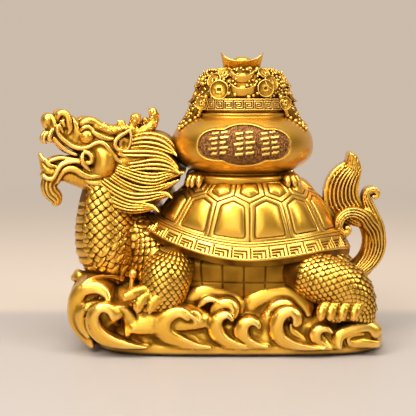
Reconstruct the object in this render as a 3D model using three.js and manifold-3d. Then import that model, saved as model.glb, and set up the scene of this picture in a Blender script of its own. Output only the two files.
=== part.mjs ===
// A dragon turtle on a base of breaking waves, with a treasure bowl standing on its shell.
// Millimetres, +Z up. The head looks towards -X, and the origin is on the underside, below the middle
// of the figure.
import * as THREE from "three";
import { mergeVertices } from "three/addons/utils/BufferGeometryUtils.js";
import Module from "manifold-3d";

const wasm = await Module();
wasm.setup();

// Wave base
const BASE_LENGTH = 216;
const BASE_WIDTH = 116;
const BASE_CENTRE_X = 19;
const BASE_HEIGHT = 34;
const LEDGE_HEIGHT = 5;
const LEDGE_REACH = 4;
const BREAKER_HEIGHT = 46;
const SWELL_HEIGHT = 60;
const BOW_CREST_HEIGHT = 57;

// Shell
const SHELL_LENGTH = 139;
const SHELL_WIDTH = 108;
const SHELL_CENTRE_X = 25.5;
const SHELL_HEIGHT = 45;
const RIM_UNDERSIDE = 64;
const RIM_THICKNESS = 6;
const RIM_REACH = 8;
const RIM_SLOPE = 11;
const RIM_LIFT_FRONT = 18;
const RIM_LIFT_BACK = 9;
const SCUTE_COUNT = 14;
const SCUTE_RELIEF = 1.3;
const SCUTE_JOINT = 3.2;

// Body, legs and neck
const LEG_THICKNESS = 37;
const TOE_THICKNESS = 7.5;
const NECK_THICKNESS = 44;
const NECK_HEIGHT = 72;
const BREAST_PLATE_COUNT = 9;
const BELLY_RELIEF = 1;

// Head, mane and tail
const HEAD_LENGTH = 70;
const HEAD_TURN = 20;
const MANE_LENGTH = 58;
const TAIL_HEIGHT = 96;
const TAIL_THICKNESS = 20;

// Treasure bowl
const BOWL_DIAMETER = 105;
const BOWL_HEIGHT = 46;
const BOWL_OFFSET = -4;
const BOWL_SINK = 2;
const BOWL_FACETS = 20;
const FOOT_RING_DIAMETER = 80;
const FOOT_RING_HEIGHT = 2.4;
const COLLAR_DIAMETER = 73;
const COLLAR_HEIGHT = 8.5;
const NECK_GROOVE = 3;
const HEAP_HEIGHT = 23.5;
const SPILL_TURN = 0.75;
const SPILL_FOOT = 0.76;
const COIN_DIAMETER = 15;
const COIN_THICKNESS = 2.4;
const BEAD_DIAMETER = 5;
const INGOT_LENGTH = 32;
const PLAQUE_WIDTH = 76;
const PLAQUE_HEIGHT = 33;
const PLAQUE_RELIEF = 1.2;

const SEAT_GAP = 0.35;
const ROUND = 2 * Math.PI;

const v = (x, y, z) => new THREE.Vector3(x, y, z);
const clamp = THREE.MathUtils.clamp;
const lerp = THREE.MathUtils.lerp;

// Places on the creature, as shares of the shell's half length and half width, and of the height
// under its rim
const along = (share) => SHELL_CENTRE_X + (share * SHELL_LENGTH) / 2;
const aside = (share) => (share * SHELL_WIDTH) / 2;
const level = (share) => lerp(BASE_HEIGHT, RIM_UNDERSIDE, share);
const spot = (a, b, c) => v(along(a), aside(b), level(c));

// A closed geometry as a solid that can be joined and cut
function solid(geometry) {
  const bare = geometry.clone();
  for (const name of Object.keys(bare.attributes)) {
    if (name !== "position") bare.deleteAttribute(name);
  }
  const merged = mergeVertices(bare, 1e-3);
  return new wasm.Manifold(
    new wasm.Mesh({
      numProp: 3,
      vertProperties: new Float32Array(merged.attributes.position.array),
      triVerts: new Uint32Array(merged.index.array),
    }),
  );
}

function joined(geometries) {
  return geometries.map(solid).reduce((all, one) => all.add(one));
}

function geometryOf(made) {
  const mesh = made.getMesh();
  const points = new Float32Array(mesh.numVert * 3);
  for (let i = 0; i < mesh.numVert; i++) {
    points.set(mesh.vertProperties.subarray(i * mesh.numProp, i * mesh.numProp + 3), i * 3);
  }
  return new THREE.BufferGeometry()
    .setAttribute("position", new THREE.BufferAttribute(points, 3))
    .setIndex(new THREE.BufferAttribute(new Uint32Array(mesh.triVerts), 1));
}

// Rings of points, all with as many points, skinned into one closed body with a point at each end
function skin(rings, first, last) {
  const count = rings[0].length;
  const points = [first, ...rings.flat(), last];
  const faces = [];
  const at = (ring, i) => 1 + ring * count + ((i + count) % count);
  for (let i = 0; i < count; i++) {
    faces.push(0, at(0, i + 1), at(0, i));
    faces.push(points.length - 1, at(rings.length - 1, i), at(rings.length - 1, i + 1));
    for (let ring = 0; ring + 1 < rings.length; ring++) {
      faces.push(at(ring, i), at(ring, i + 1), at(ring + 1, i));
      faces.push(at(ring, i + 1), at(ring + 1, i + 1), at(ring + 1, i));
    }
  }
  return new THREE.BufferGeometry().setFromPoints(points).setIndex(faces);
}

// A rounded limb along a smooth curve, with radii spread evenly along it.
// flat stretches its section in the direction across, phase turns the section, and flute draws in every
// second edge.
function limb(
  route,
  radii,
  { sides = 6, steps = 4, flat = 1, flute = 0, phase = 0, across = v(0, 1, 0) } = {},
) {
  const curve = new THREE.CatmullRomCurve3(route, false, "centripetal");
  const size = new THREE.CatmullRomCurve3(radii.map((r, i) => v(i, r, 0)), false, "catmullrom", 0.5);
  const rings = [];
  for (let k = 0; k <= steps; k++) {
    const t = k / steps;
    const centre = curve.getPoint(t);
    const tangent = curve.getTangent(t);
    const side = across.clone().addScaledVector(tangent, -across.dot(tangent)).normalize();
    const up = tangent.clone().cross(side);
    rings.push(
      Array.from({ length: sides }, (_, i) => {
        const a = ROUND * (i / sides + phase);
        const r = Math.max(0.4, size.getPoint(t).y) * (i % 2 ? 1 - flute : 1);
        return centre
          .clone()
          .addScaledVector(up, -r * Math.cos(a))
          .addScaledVector(side, r * flat * Math.sin(a));
      }),
    );
  }
  const end = (t, r) => curve.getPoint(t).addScaledVector(curve.getTangent(t), r);
  return skin(rings, end(0, -radii[0] * 0.6), end(1, radii.at(-1) * 0.6));
}

function ball(centre, size, around = 8, up = 5) {
  return new THREE.SphereGeometry(1, around, up)
    .rotateX(Math.PI / 2)
    .scale(size.x, size.y, size.z)
    .translate(centre.x, centre.y, centre.z);
}

// The same form on the other side of the middle plane
function mirrored(geometry) {
  const other = geometry.clone().scale(1, -1, 1);
  const index = other.index.array;
  for (let i = 0; i < index.length; i += 3) {
    [index[i + 1], index[i + 2]] = [index[i + 2], index[i + 1]];
  }
  return other;
}

const both = (geometry) => [geometry, mirrored(geometry)];

// Shell: its rim is lifted towards its front, a little towards the tail and not at the tail itself.
// turn runs round the shell from the tail, and rise runs from 0 at the rim to 1 at the top.
function rimLift(x) {
  const share = clamp((x - SHELL_CENTRE_X) / (SHELL_LENGTH / 2 + RIM_REACH), -1, 1);
  return share < 0 ? RIM_LIFT_FRONT * (-share) ** 1.8 : RIM_LIFT_BACK * (share ** 1.5 - share ** 6);
}

const RIM_TOP = RIM_UNDERSIDE + RIM_THICKNESS + RIM_SLOPE;
const SHELL_TOP = RIM_TOP + SHELL_HEIGHT;

function shellPoint(turn, rise, proud = 0) {
  const endShare = (1 - rise ** 0.6) ** 0.2;
  const sideShare = (1 - rise ** 2) ** 0.19;
  const x = SHELL_CENTRE_X + ((SHELL_LENGTH / 2) * endShare + proud) * Math.cos(turn);
  const y = ((SHELL_WIDTH / 2) * sideShare + proud) * Math.sin(turn);
  return v(x, y, RIM_TOP + rimLift(x) * (1 - rise) + SHELL_HEIGHT * rise + proud * rise);
}

function rimPoint(turn, out, drop) {
  const x = SHELL_CENTRE_X + (SHELL_LENGTH / 2 + out) * Math.cos(turn);
  const y = (SHELL_WIDTH / 2 + out) * Math.sin(turn);
  return v(x, y, RIM_TOP + rimLift(x) - drop);
}

// A plate's outline on the shell with its raised top inside it, as triangles
function plate(corners, grown) {
  const share = (list) => list.reduce((sum, n) => sum + n, 0) / list.length;
  const turn = share(corners.map((corner) => corner[0]));
  const rise = share(corners.map((corner) => corner[1]));
  const top = shellPoint(turn, rise, grown + SCUTE_RELIEF * 1.2);
  const outline = corners.map(([a, b]) => shellPoint(a, b, grown));
  const edge = corners.map(([a, b]) => {
    const corner = shellPoint(a, b, grown + SCUTE_RELIEF);
    return corner.clone().lerp(top, SCUTE_JOINT / corner.distanceTo(top));
  });
  return outline.flatMap((p, i) => {
    const next = (i + 1) % outline.length;
    const q = outline[next];
    return [p, q, edge[next], p, edge[next], edge[i], edge[i], edge[next], top];
  });
}

// The whole shell in one skin: underside, rim, two rows of plates, and a cap under the bowl
function shellForm(grown = 0) {
  const count = 2 * SCUTE_COUNT;
  const turn = (k) => (ROUND * (k + 1)) / count;
  const foot = RIM_SLOPE + RIM_THICKNESS;
  const waist = 0.62;
  const shoulder = 0.73;
  const crown = 0.94;
  const rim = (k) => [
    v(SHELL_CENTRE_X, 0, RIM_UNDERSIDE),
    rimPoint(turn(k), RIM_REACH, foot),
    rimPoint(turn(k), RIM_REACH, RIM_SLOPE),
    rimPoint(turn(k), 1.5, 1),
    shellPoint(turn(k), 0, grown),
  ];
  const points = [];
  for (let k = 0; k < count; k++) {
    const here = rim(k);
    const next = rim((k + 1) % count);
    points.push(here[0], next[1], here[1]);
    for (let i = 1; i + 1 < here.length; i++) {
      points.push(here[i], next[i], next[i + 1], here[i], next[i + 1], here[i + 1]);
    }
  }
  for (let k = 0; k < count; k += 2) {
    const [a, b, c, d] = [k, k + 1, k + 2, k + 3].map(turn);
    const lower = [[a, 0], [b, 0], [c, 0], [c, waist], [b, shoulder], [a, waist]];
    const upper = [[b, shoulder], [c, waist], [d, shoulder], [d, crown], [b, crown]];
    points.push(...plate(lower, grown), ...plate(upper, grown));
    const peak = v(SHELL_CENTRE_X, 0, SHELL_TOP + grown);
    points.push(shellPoint(b, crown, grown), shellPoint(d, crown, grown), peak);
  }
  return new THREE.BufferGeometry().setFromPoints(points);
}

// Wave base: a point on its outline, drawn in by inset
function outlinePoint(turn, inset) {
  const reach = (half, share) => (half - inset) * Math.sign(share) * Math.abs(share) ** 0.5;
  const x = BASE_CENTRE_X + reach(BASE_LENGTH / 2, Math.cos(turn));
  return v(x, reach(BASE_WIDTH / 2, Math.sin(turn)), 0);
}

function waveBlock() {
  const around = 20;
  const levels = [
    [0, LEDGE_REACH],
    [LEDGE_HEIGHT * 0.8, 0],
    [LEDGE_HEIGHT * 1.3, LEDGE_REACH],
    [BASE_HEIGHT * 0.65, LEDGE_REACH * 2],
    [BASE_HEIGHT * 0.92, LEDGE_REACH * 4],
    [BASE_HEIGHT, LEDGE_REACH * 7],
  ];
  const rings = levels.map(([z, inset]) =>
    Array.from({ length: around }, (_, i) => outlinePoint((ROUND * (i + 0.5)) / around, inset).setZ(z)),
  );
  return skin(rings, v(BASE_CENTRE_X, 0, 0), v(BASE_CENTRE_X, 0, BASE_HEIGHT));
}

// A breaking wave with a ridge along it, drawn at height 1: it rises, leans over and curls down.
// Each point has its place along and up, and its radius.
const BREAKER = [
  [0.3, 0.18, 0.16],
  [-0.2, 0.2, 0.2],
  [-0.42, 0.5, 0.19],
  [-0.18, 0.8, 0.16],
  [0.18, 0.86, 0.13],
  [0.36, 0.66, 0.11],
  [0.26, 0.46, 0.07],
];

function breaker(x, y, height, lean = 1) {
  const route = BREAKER.map(([u, w]) => v(x + lean * u * height, y, w * height));
  const radii = BREAKER.map((point) => point[2] * height);
  return limb(route, radii, { sides: 3, steps: 8, flat: 1.3, phase: 0.75 });
}

function waves() {
  const wall = -(BASE_WIDTH / 2 - LEDGE_REACH * 2);
  const place = (share) => BASE_CENTRE_X + (share * BASE_LENGTH) / 2;
  // Along the side: place, height as a share of the tallest, and distance out from the wall
  const row = [
    [-0.42, 0.92, 1],
    [-0.13, 0.86, 0],
    [0.07, 0.68, 2],
    [0.28, 1, 1],
    [0.5, 0.56, 3],
    [0.74, 0.52, 2],
  ];
  const near = row.map(([share, tall, out]) => breaker(place(share), wall - out, tall * BREAKER_HEIGHT));
  const far = [0, 3].map((i) => mirrored(near[i]));
  const swell = (share) => breaker(place(share), wall + 14, SWELL_HEIGHT, 0.9);
  const [foreSwell, aftSwell] = [-0.2, 0.27].map(swell);
  const bowEnd = BASE_CENTRE_X - BASE_LENGTH / 2;
  const crest = BOW_CREST_HEIGHT;
  const bowCrest = limb(
    [v(bowEnd + 22, -8, crest * 0.26), v(bowEnd - 3, -8, crest * 0.3), v(bowEnd - 10, -8, crest * 0.62),
      v(bowEnd - 6, -9, crest * 0.86), v(bowEnd - 13, -9, crest * 0.91)],
    [17, 16, 10, 7, 4],
    { sides: 6, steps: 6, flat: 2 },
  );
  const bowCurl = limb(
    [v(bowEnd + 30, -38, 12), v(bowEnd + 6, -42, 14), v(bowEnd, -42, 30), v(bowEnd + 11, -42, 41),
      v(bowEnd + 24, -44, 36), v(bowEnd + 24, -46, 25)],
    [10, 10, 8, 7, 6, 4],
    { sides: 4, steps: 6 },
  );
  const bowSwell = ball(v(bowEnd + 24, 0, 20), v(30, 46, 28), 8, 6);
  const sternEnd = BASE_CENTRE_X + BASE_LENGTH / 2;
  const stern = limb(
    [v(sternEnd - 34, -38, 12), v(sternEnd - 16, -40, 17), v(sternEnd - 8, -22, 15)],
    [8, 8, 6],
    { sides: 5, steps: 3, across: v(0, 0, 1) },
  );
  const ends = [bowCrest, bowSwell, ...both(bowCurl), ...both(stern)];
  return [...ends, ...near, ...far, foreSwell, ...both(aftSwell)];
}

// Body under the shell: every second edge is drawn in, which parts the belly plates
function body() {
  const around = 20;
  const ring = (a, b, c, drawn) =>
    Array.from({ length: around }, (_, i) => {
      const turn = (ROUND * i) / around;
      const share = (s) => Math.sign(s) * Math.abs(s) ** 0.75;
      const inset = i % 2 ? drawn : 0;
      return v(along(a * share(Math.cos(turn))), (aside(b) - inset) * share(Math.sin(turn)), level(c));
    });
  const rings = [
    ring(0.86, 0.7, -0.15, BELLY_RELIEF),
    ring(0.94, 0.84, 0.35, BELLY_RELIEF),
    ring(0.97, 0.9, 1, BELLY_RELIEF),
    ring(0.9, 0.8, 1.35, 0),
  ];
  const chest = ball(spot(-0.96, 0, 1), v(24, 23, 22), 8, 6);
  return [skin(rings, spot(0, 0, -0.15), spot(0, 0, 1.35)), chest];
}

function legs() {
  const thick = LEG_THICKNESS / 2;
  const front = limb(
    [spot(-0.7, -0.6, 1.05), spot(-0.82, -0.82, 0.88), spot(-0.86, -0.84, 0.6), spot(-0.87, -0.76, 0.1)],
    [thick * 0.6, thick * 0.95, thick, thick * 0.73],
    { sides: 6, steps: 3 },
  );
  const paw = limb([spot(-0.86, -0.9, 0.45), spot(-1.14, -1.04, 0.3)], [thick * 0.62, thick * 0.5], {
    sides: 5,
    steps: 1,
  });
  const rear = limb(
    [spot(0.5, -0.76, 0.85), spot(0.76, -0.84, 0.68), spot(1.02, -0.86, 0.45), spot(1.14, -0.86, 0.05)],
    [thick * 0.7, thick * 0.94, thick * 0.8, thick * 0.5],
    { sides: 6, steps: 4 },
  );
  const foot = limb([spot(1.12, -0.84, -0.05), spot(0.86, -0.96, 0)], [thick * 0.5, thick * 0.42], {
    sides: 5,
    steps: 1,
  });
  const toe = (root, tip) =>
    limb([root.clone().lerp(tip, 0.4), tip], [TOE_THICKNESS * 0.6, TOE_THICKNESS * 0.32],
      { sides: 4, steps: 1, across: v(0.3, 0, 1) });
  const frontTips = [[-1.33, -0.98, 0.35], [-1.26, -1.08, 0.3], [-1.13, -1.14, 0.25], [-0.98, -1.13, 0.2]];
  const rearTips = [[0.68, -1.04, 0.0], [0.78, -1.12, -0.1], [0.91, -1.15, -0.15], [1.05, -1.14, -0.2]];
  const frontToes = frontTips.map((tip) => toe(spot(-1.06, -0.98, 0.4), spot(...tip)));
  const rearToes = rearTips.map((tip) => toe(spot(0.98, -0.98, 0.05), spot(...tip)));
  return [front, paw, rear, foot, ...frontToes, ...rearToes].flatMap(both);
}

// Neck: a swelling column in front of the body, with a strip of plates down its front
const NECK_TOP = v(along(-1.46), -4, level(0.75) + NECK_HEIGHT);
function neck() {
  const thick = NECK_THICKNESS / 2;
  const place = (x, share) => v(NECK_TOP.x + x, NECK_TOP.y, NECK_TOP.z - (1 - share) * NECK_HEIGHT);
  const column = limb(
    [place(8, -0.1), place(-2, 0.12), place(-4, 0.38), place(-3, 0.64), place(0, 0.9)],
    [thick * 0.62, thick * 0.94, thick, thick * 0.92, thick * 0.8],
    { sides: 9, steps: 5 },
  );
  const strip = limb(
    [place(-6, -0.02), place(-14, 0.2), place(-17.5, 0.42), place(-16, 0.62), place(-9, 0.86)],
    Array.from({ length: 2 * BREAST_PLATE_COUNT + 1 }, (_, i) => (i % 2 ? 9 : 7.6)),
    { sides: 4, steps: 2 * BREAST_PLATE_COUNT },
  );
  return [column, strip];
}

// Head: drawn 70 mm long about its throat, then resized, turned and set on the neck
const HEAD_PLACE = new THREE.Matrix4()
  .makeTranslation(NECK_TOP.x, NECK_TOP.y, NECK_TOP.z)
  .multiply(new THREE.Matrix4().makeRotationZ(THREE.MathUtils.degToRad(HEAD_TURN)))
  .multiply(new THREE.Matrix4().makeScale(HEAD_LENGTH / 70, HEAD_LENGTH / 70, HEAD_LENGTH / 70));

function headMiddle() {
  const skull = ball(v(-3, 0, 17), v(21, 15, 18), 8, 6);
  const muzzle = limb(
    [v(-6, 0, 22), v(-22, 0, 22), v(-34, 0, 26), v(-47, 0, 33)],
    [13, 10, 8.5, 6],
    { flat: 1.05 },
  );
  const snout = ball(v(-48, 0, 38), v(5, 7, 4.5), 6, 4);
  const jaw = limb(
    [v(4, 0, 0), v(-16, 0, -4), v(-34, 0, -1), v(-48, 0, -1), v(-54, 0, 12)],
    [15, 10.5, 6.5, 5.5, 1],
    { steps: 6, flat: 1.15 },
  );
  const tongue = limb([v(-14, 0, 6), v(-30, 0, 9), v(-46, 0, 8)], [4, 4, 1.5], {
    sides: 4,
    steps: 2,
    flat: 1.5,
  });
  const beard = limb([v(-47, 0, -1), v(-48, 0, -11), v(-43, 0, -18), v(-46, 0, -25)], [5, 7, 6, 1.2],
    { sides: 6, steps: 4, flat: 0.8, flute: 0.2 });
  return [skull, muzzle, snout, jaw, tongue, beard];
}

// One side of the head; the far side is the plainer one
function headSide(near) {
  const nostril = limb([v(-31, -8, 28), v(-30, -9, 38), v(-35, -9, 43), v(-40, -9, 40)], [4, 4.5, 4, 3],
    { sides: 5, steps: 4, flat: 0.9 });
  const eye = ball(v(-20, -11.5, 26.5), v(5.4, 5, 5.2), 6, 4);
  const cheeks = [14.5, 5.5].map((z) => ball(v(-8.5, -12, z), v(8, 7, 7.5), 6, 4));
  const horn = limb(
    [v(-26, -9, 34), v(-15, -10, 35), v(3, -11, 31), v(18, -13, 27.5), v(30, -15, 32), v(28.5, -14, 45)],
    [3, 5, 5, 5, 5, 2.5],
    { sides: 5, steps: 8 },
  );
  const tines = [[4, 31, 5.5, 37, 3], [13, 29, 15.5, 39, 4]].map(([x, z, tipX, tipZ, r]) =>
    limb([v(x, -12, z), v(tipX, -12, tipZ)], [r, r * 0.9], { sides: 4, steps: 1 }),
  );
  const ear = limb([v(2.5, -15, 15), v(4, -17, 21), v(8, -18, 27), v(12.5, -18, 32)], [3, 8, 6, 0.8],
    { sides: 4, steps: 4, flat: 0.4 });
  const whisker = limb(
    [v(-43, -8, 33), v(-40, -10, 26), v(-32, -11, 20.5), v(-24, -12, 18), v(-17, -13, 19.5),
      v(-11, -18, 23), v(-5, -19, 18.5), v(2, -18, 10), v(14, -19, 5), v(32, -20, 12), v(42, -20, 9)],
    [1.9, 1.9, 1.9, 1.9, 1.9, 1.9, 1.9, 1.9, 1.6, 1.3, 0.9],
    { sides: 3, steps: 10 },
  );
  const fangs = [[-46, 3], [-39, 2.4]].map(([x, r]) => limb([v(x, -6, 29), v(x - 1, -6, 20)], [r, 0.8],
    { sides: 4, steps: 1 }));
  const fringe = [[10, 2], [4, -7], [-6, -11]].map(([x, z]) =>
    limb([v(-8, -12, 4), v(x, -16, z)], [6, 0.8], { sides: 4, steps: 1, flat: 0.6 }),
  );
  const fine = [cheeks[1], whisker, ...tines, ...fangs, ...fringe];
  return [nostril, eye, cheeks[0], horn, ear, ...(near ? fine : [tines[1]])];
}

function head() {
  const parts = [...headMiddle(), ...headSide(true), ...headSide(false).map(mirrored)];
  return parts.map((part) => part.applyMatrix4(HEAD_PLACE));
}

// Mane: locks that stream back from the head, each with its distance aside, height at the root and at
// the tip, length as a share of the mane, and thickness
const LOCKS = [
  [10, 26, 22, 0.72, 8],
  [22, 14, 8, 0.98, 9],
  [24, 1, -4, 1, 8.5],
  [22, -10, -18, 0.84, 8],
];

function mane() {
  const reach = MANE_LENGTH;
  const at = (share, y, z) => NECK_TOP.clone().add(v(share * reach - 4, y, z));
  const lock = ([side, low, high, share, thick]) =>
    limb(
      [
        at(0.12, -side * 0.55, low * 0.9),
        at(0.34, -side * 0.95, low - 2),
        at(share * 0.62, -side - 3, (low + high) / 2 - 4),
        at(share, -side - 6, high),
      ],
      [thick, thick, thick * 0.9, 1],
      { sides: 6, steps: 3, flat: 0.7, flute: 0.15 },
    );
  const core = ball(at(0.3, 0, 7), v(17, 20, 25), 8, 5);
  return [core, ...LOCKS.flatMap((one) => both(lock(one)))];
}

// Tail: a stem that sweeps up behind the shell and parts into a flame and two curls, drawn from the
// shell's end
function tail() {
  const place = (x, share) => v(along(1) + x, 0, level(0.4) + share * TAIL_HEIGHT);
  const beside = (x, share, out) => place(x, share).setY(-out);
  const flat = TAIL_THICKNESS / 22;
  const stem = limb(
    [place(-4, 0.06), place(14, 0), place(22, 0.15), place(25, 0.3), place(20, 0.45), place(12, 0.55)],
    [10, 11, 11, 11, 11, 11],
    { sides: 6, steps: 6, flat },
  );
  const flame = limb(
    [place(14, 0.42), place(2, 0.58), place(3, 0.7), place(10, 0.82), place(11, 0.9), place(7.5, 0.97)],
    [9, 13.5, 14, 9, 5, 1],
    { sides: 6, steps: 6, flat },
  );
  const innerCurl = limb(
    [place(22, 0.38), beside(11, 0.5, 6), beside(3.5, 0.52, 10), beside(-2, 0.45, 11), beside(-1, 0.38, 11),
      beside(3.5, 0.37, 11), beside(5, 0.41, 11)],
    [5, 5, 4.5, 4, 3.5, 3, 2],
    { sides: 4, steps: 7, flat },
  );
  const outerCurl = limb(
    [place(27, 0.38), place(23, 0.58), place(25.5, 0.67), place(30, 0.65), place(28, 0.6)],
    [5, 4.5, 3.2, 3, 2.2],
    { sides: 4, steps: 5, flat: flat * 2 },
  );
  return [stem, flame, outerCurl, ...both(innerCurl)];
}

// Treasure bowl: its foot is sunk into the seat on the top of the shell
const BOWL_CENTRE_X = SHELL_CENTRE_X + BOWL_OFFSET;
const BOWL_FOOT = SHELL_TOP - BOWL_SINK;
const COLLAR_FOOT = BOWL_FOOT + BOWL_HEIGHT + NECK_GROOVE;
const HEAP_FOOT = COLLAR_FOOT + COLLAR_HEIGHT;
const COLLAR_RADIUS = COLLAR_DIAMETER / 2;

function bowlRadius(z) {
  const widest = BOWL_FOOT + BOWL_HEIGHT * 0.48;
  const half = z < widest ? BOWL_HEIGHT * 0.51 : BOWL_HEIGHT * 0.64;
  return (BOWL_DIAMETER / 2) * (1 - Math.min(1, Math.abs(z - widest) / half) ** 2.3) ** 0.5;
}

// How far the heap that spills over the ends of the bowl stands out at a height, from the bowl's axis
function spillRadius(z) {
  const top = HEAP_FOOT + HEAP_HEIGHT * 0.45;
  const low = BOWL_FOOT + BOWL_HEIGHT * SPILL_FOOT;
  const share = clamp((top - z) / (top - low), 0, 1);
  return z < low || z > top ? 0 : lerp(COLLAR_RADIUS, bowlRadius(low) + 1.5, share ** 1.2);
}

// The bowl with its foot, collar and heap, in one skin; grown makes the room that it needs
function bowlForm(grown = 0) {
  const foot = FOOT_RING_DIAMETER / 2;
  const levels = [
    [foot, BOWL_FOOT - 12 - grown],
    [foot, BOWL_FOOT + FOOT_RING_HEIGHT],
    ...[0.07, 0.2, 0.42, 0.62, 0.8, 0.94].map((share) => {
      const z = BOWL_FOOT + BOWL_HEIGHT * share;
      return [Math.max(bowlRadius(z), COLLAR_RADIUS), z];
    }),
    [COLLAR_RADIUS - 2, BOWL_FOOT + BOWL_HEIGHT],
    [COLLAR_RADIUS, COLLAR_FOOT],
    [COLLAR_RADIUS, HEAP_FOOT],
    [COLLAR_RADIUS * 0.95, HEAP_FOOT + HEAP_HEIGHT * 0.4],
    [COLLAR_RADIUS * 0.87, HEAP_FOOT + HEAP_HEIGHT * 0.7],
    [COLLAR_RADIUS * 0.7, HEAP_FOOT + HEAP_HEIGHT * 0.92],
  ];
  const rings = levels.map(([radius, z]) =>
    Array.from({ length: BOWL_FACETS }, (_, i) => {
      const turn = (ROUND * i) / BOWL_FACETS;
      const narrowed = clamp((COLLAR_FOOT - z) / (BOWL_HEIGHT * 0.3), 0, 1);
      const reach = lerp(SPILL_TURN, SPILL_TURN * 0.45, narrowed);
      const spilled = Math.abs(Math.sin(turn)) < Math.sin(reach) ? spillRadius(z) : 0;
      const r = Math.max(radius, spilled) + grown;
      return v(BOWL_CENTRE_X + r * Math.cos(turn), r * Math.sin(turn), z);
    }),
  );
  const axis = (z) => v(BOWL_CENTRE_X, 0, z);
  return skin(rings, axis(BOWL_FOOT - 12 - grown), axis(HEAP_FOOT + HEAP_HEIGHT + grown));
}

// A boat-shaped ingot on its keel, with raised ends and a domed middle
function ingot(length, x, y, z) {
  const ring = (long, wide, height, lift) =>
    Array.from({ length: 8 }, (_, i) => {
      const a = (ROUND * i) / 8;
      const end = Math.abs(Math.cos(a)) ** 3;
      return v(long * length * Math.cos(a), wide * length * Math.sin(a), length * (height + lift * end));
    });
  const rings = [ring(0.36, 0.17, 0, 0), ring(0.5, 0.27, 0.22, 0.14)];
  const hull = skin(rings, v(0, 0, 0), v(0, 0, length * 0.16));
  const dome = ball(v(0, 0, length * 0.2), v(length * 0.2, length * 0.17, length * 0.13), 6, 4);
  return [hull, dome].map((part) => part.translate(x, y, z));
}

const coin = () => new THREE.CylinderGeometry(COIN_DIAMETER / 2, COIN_DIAMETER / 2, COIN_THICKNESS, 8);
const bead = () => new THREE.OctahedronGeometry(BEAD_DIAMETER / 2);

// Sets a form on the heap or the bowl, facing out at a turn round the bowl's axis and leaning back by lean
function onBowl(form, turn, radius, z, lean = 0) {
  return form
    .rotateZ(Math.PI / 2 + lean)
    .translate(radius, 0, z)
    .rotateZ(turn)
    .translate(BOWL_CENTRE_X, 0, 0);
}

// The heap's front: two ingots one above the other between pairs of coins; the back has half of them
function heapSide(near) {
  const towards = near ? -1 : 1;
  const turn = (towards * Math.PI) / 2;
  const lower = ingot(INGOT_LENGTH * 0.8, BOWL_CENTRE_X, towards * COLLAR_RADIUS * 0.92, HEAP_FOOT);
  const shelf = HEAP_FOOT + HEAP_HEIGHT * 0.48;
  const higher = ingot(INGOT_LENGTH * 0.72, BOWL_CENTRE_X, -COLLAR_RADIUS * 0.8, shelf);
  const coins = [-1, 1].flatMap((side) => [
    onBowl(coin(), turn + side * 0.68, COLLAR_RADIUS, HEAP_FOOT + COIN_DIAMETER * 0.52, 0.22),
    onBowl(coin(), turn + side * 0.92, COLLAR_RADIUS * 0.94, HEAP_FOOT + COIN_DIAMETER * 0.85, 0.3),
  ]);
  return near ? [...lower, ...higher, ...coins] : [...lower, coins[0], coins[2]];
}

// The spill at each end of the bowl is edged in front with a string of beads
function beadString(end) {
  const low = BOWL_FOOT + BOWL_HEIGHT * SPILL_FOOT;
  const side = end === 0 ? -1 : 1;
  return [0, 0.33, 0.67, 1].map((t) => {
    const z = lerp(HEAP_FOOT, low, t);
    const radius = Math.max(bowlRadius(z), COLLAR_RADIUS) + BEAD_DIAMETER * 0.2;
    return onBowl(bead(), end + side * SPILL_TURN * lerp(1.1, 0.4, t), radius, z);
  });
}

function bowlFeet() {
  return [0.72, Math.PI - 0.72, Math.PI + 0.72, -0.72].map((turn) => {
    const at = (out, z) => {
      const radius = FOOT_RING_DIAMETER / 2 + out;
      return v(BOWL_CENTRE_X + radius * Math.cos(turn), radius * Math.sin(turn), BOWL_FOOT + z);
    };
    return limb([at(0, 7), at(6, 2), at(10, -4)], [4.5, 5.2, 3.8], { sides: 5, steps: 2 });
  });
}

// The panel on the bowl: a lobed plate that follows its wall, with a raised edge round a sunken ground
function plaque() {
  const count = 14;
  const middleZ = BOWL_FOOT + BOWL_HEIGHT * 0.5;
  const outline = (share, proud) =>
    Array.from({ length: count }, (_, i) => {
      const a = (ROUND * (i + 0.5)) / count;
      const lobe = Math.abs(Math.cos(a)) > 0.6 ? 0.8 : 1;
      const up = Math.sin(a);
      const tall = share * lobe * (PLAQUE_HEIGHT / 2) * Math.sign(up) * Math.abs(up) ** 0.7;
      const turn = (share * PLAQUE_WIDTH * Math.cos(a)) / BOWL_DIAMETER;
      const radius = bowlRadius(middleZ + tall) + proud;
      return v(BOWL_CENTRE_X + radius * Math.sin(turn), -radius * Math.cos(turn), middleZ + tall);
    });
  const middle = (proud) => v(BOWL_CENTRE_X, -BOWL_DIAMETER / 2 - proud, middleZ);
  const edge = [outline(1, -2), outline(1, PLAQUE_RELIEF), outline(0.92, PLAQUE_RELIEF)];
  return skin([...edge, outline(0.9, 0.1)], middle(-2), middle(0.1));
}

const gold = new THREE.MeshStandardMaterial({ color: "#c8922c", metalness: 1, roughness: 0.32 });

const ground = solid(
  new THREE.BoxGeometry(BASE_LENGTH * 2, BASE_WIDTH * 2, BASE_HEIGHT).translate(0, 0, -BASE_HEIGHT / 2),
);
const base = [waveBlock(), ...waves()];
const creature = joined([...base, ...body(), ...legs(), ...neck(), ...head(), ...mane(), ...tail()]);
const turtleSolid = creature.subtract(solid(bowlForm(SEAT_GAP))).add(solid(shellForm())).subtract(ground);
const treasure = [...heapSide(true), ...heapSide(false), ...beadString(0), ...beadString(Math.PI)];
const topIngot = ingot(INGOT_LENGTH, BOWL_CENTRE_X, 0, HEAP_FOOT + HEAP_HEIGHT - 1);
const bowlSolid = joined([bowlForm(), plaque(), ...bowlFeet(), ...treasure, ...topIngot]).subtract(
  solid(shellForm(SEAT_GAP)),
);

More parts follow.
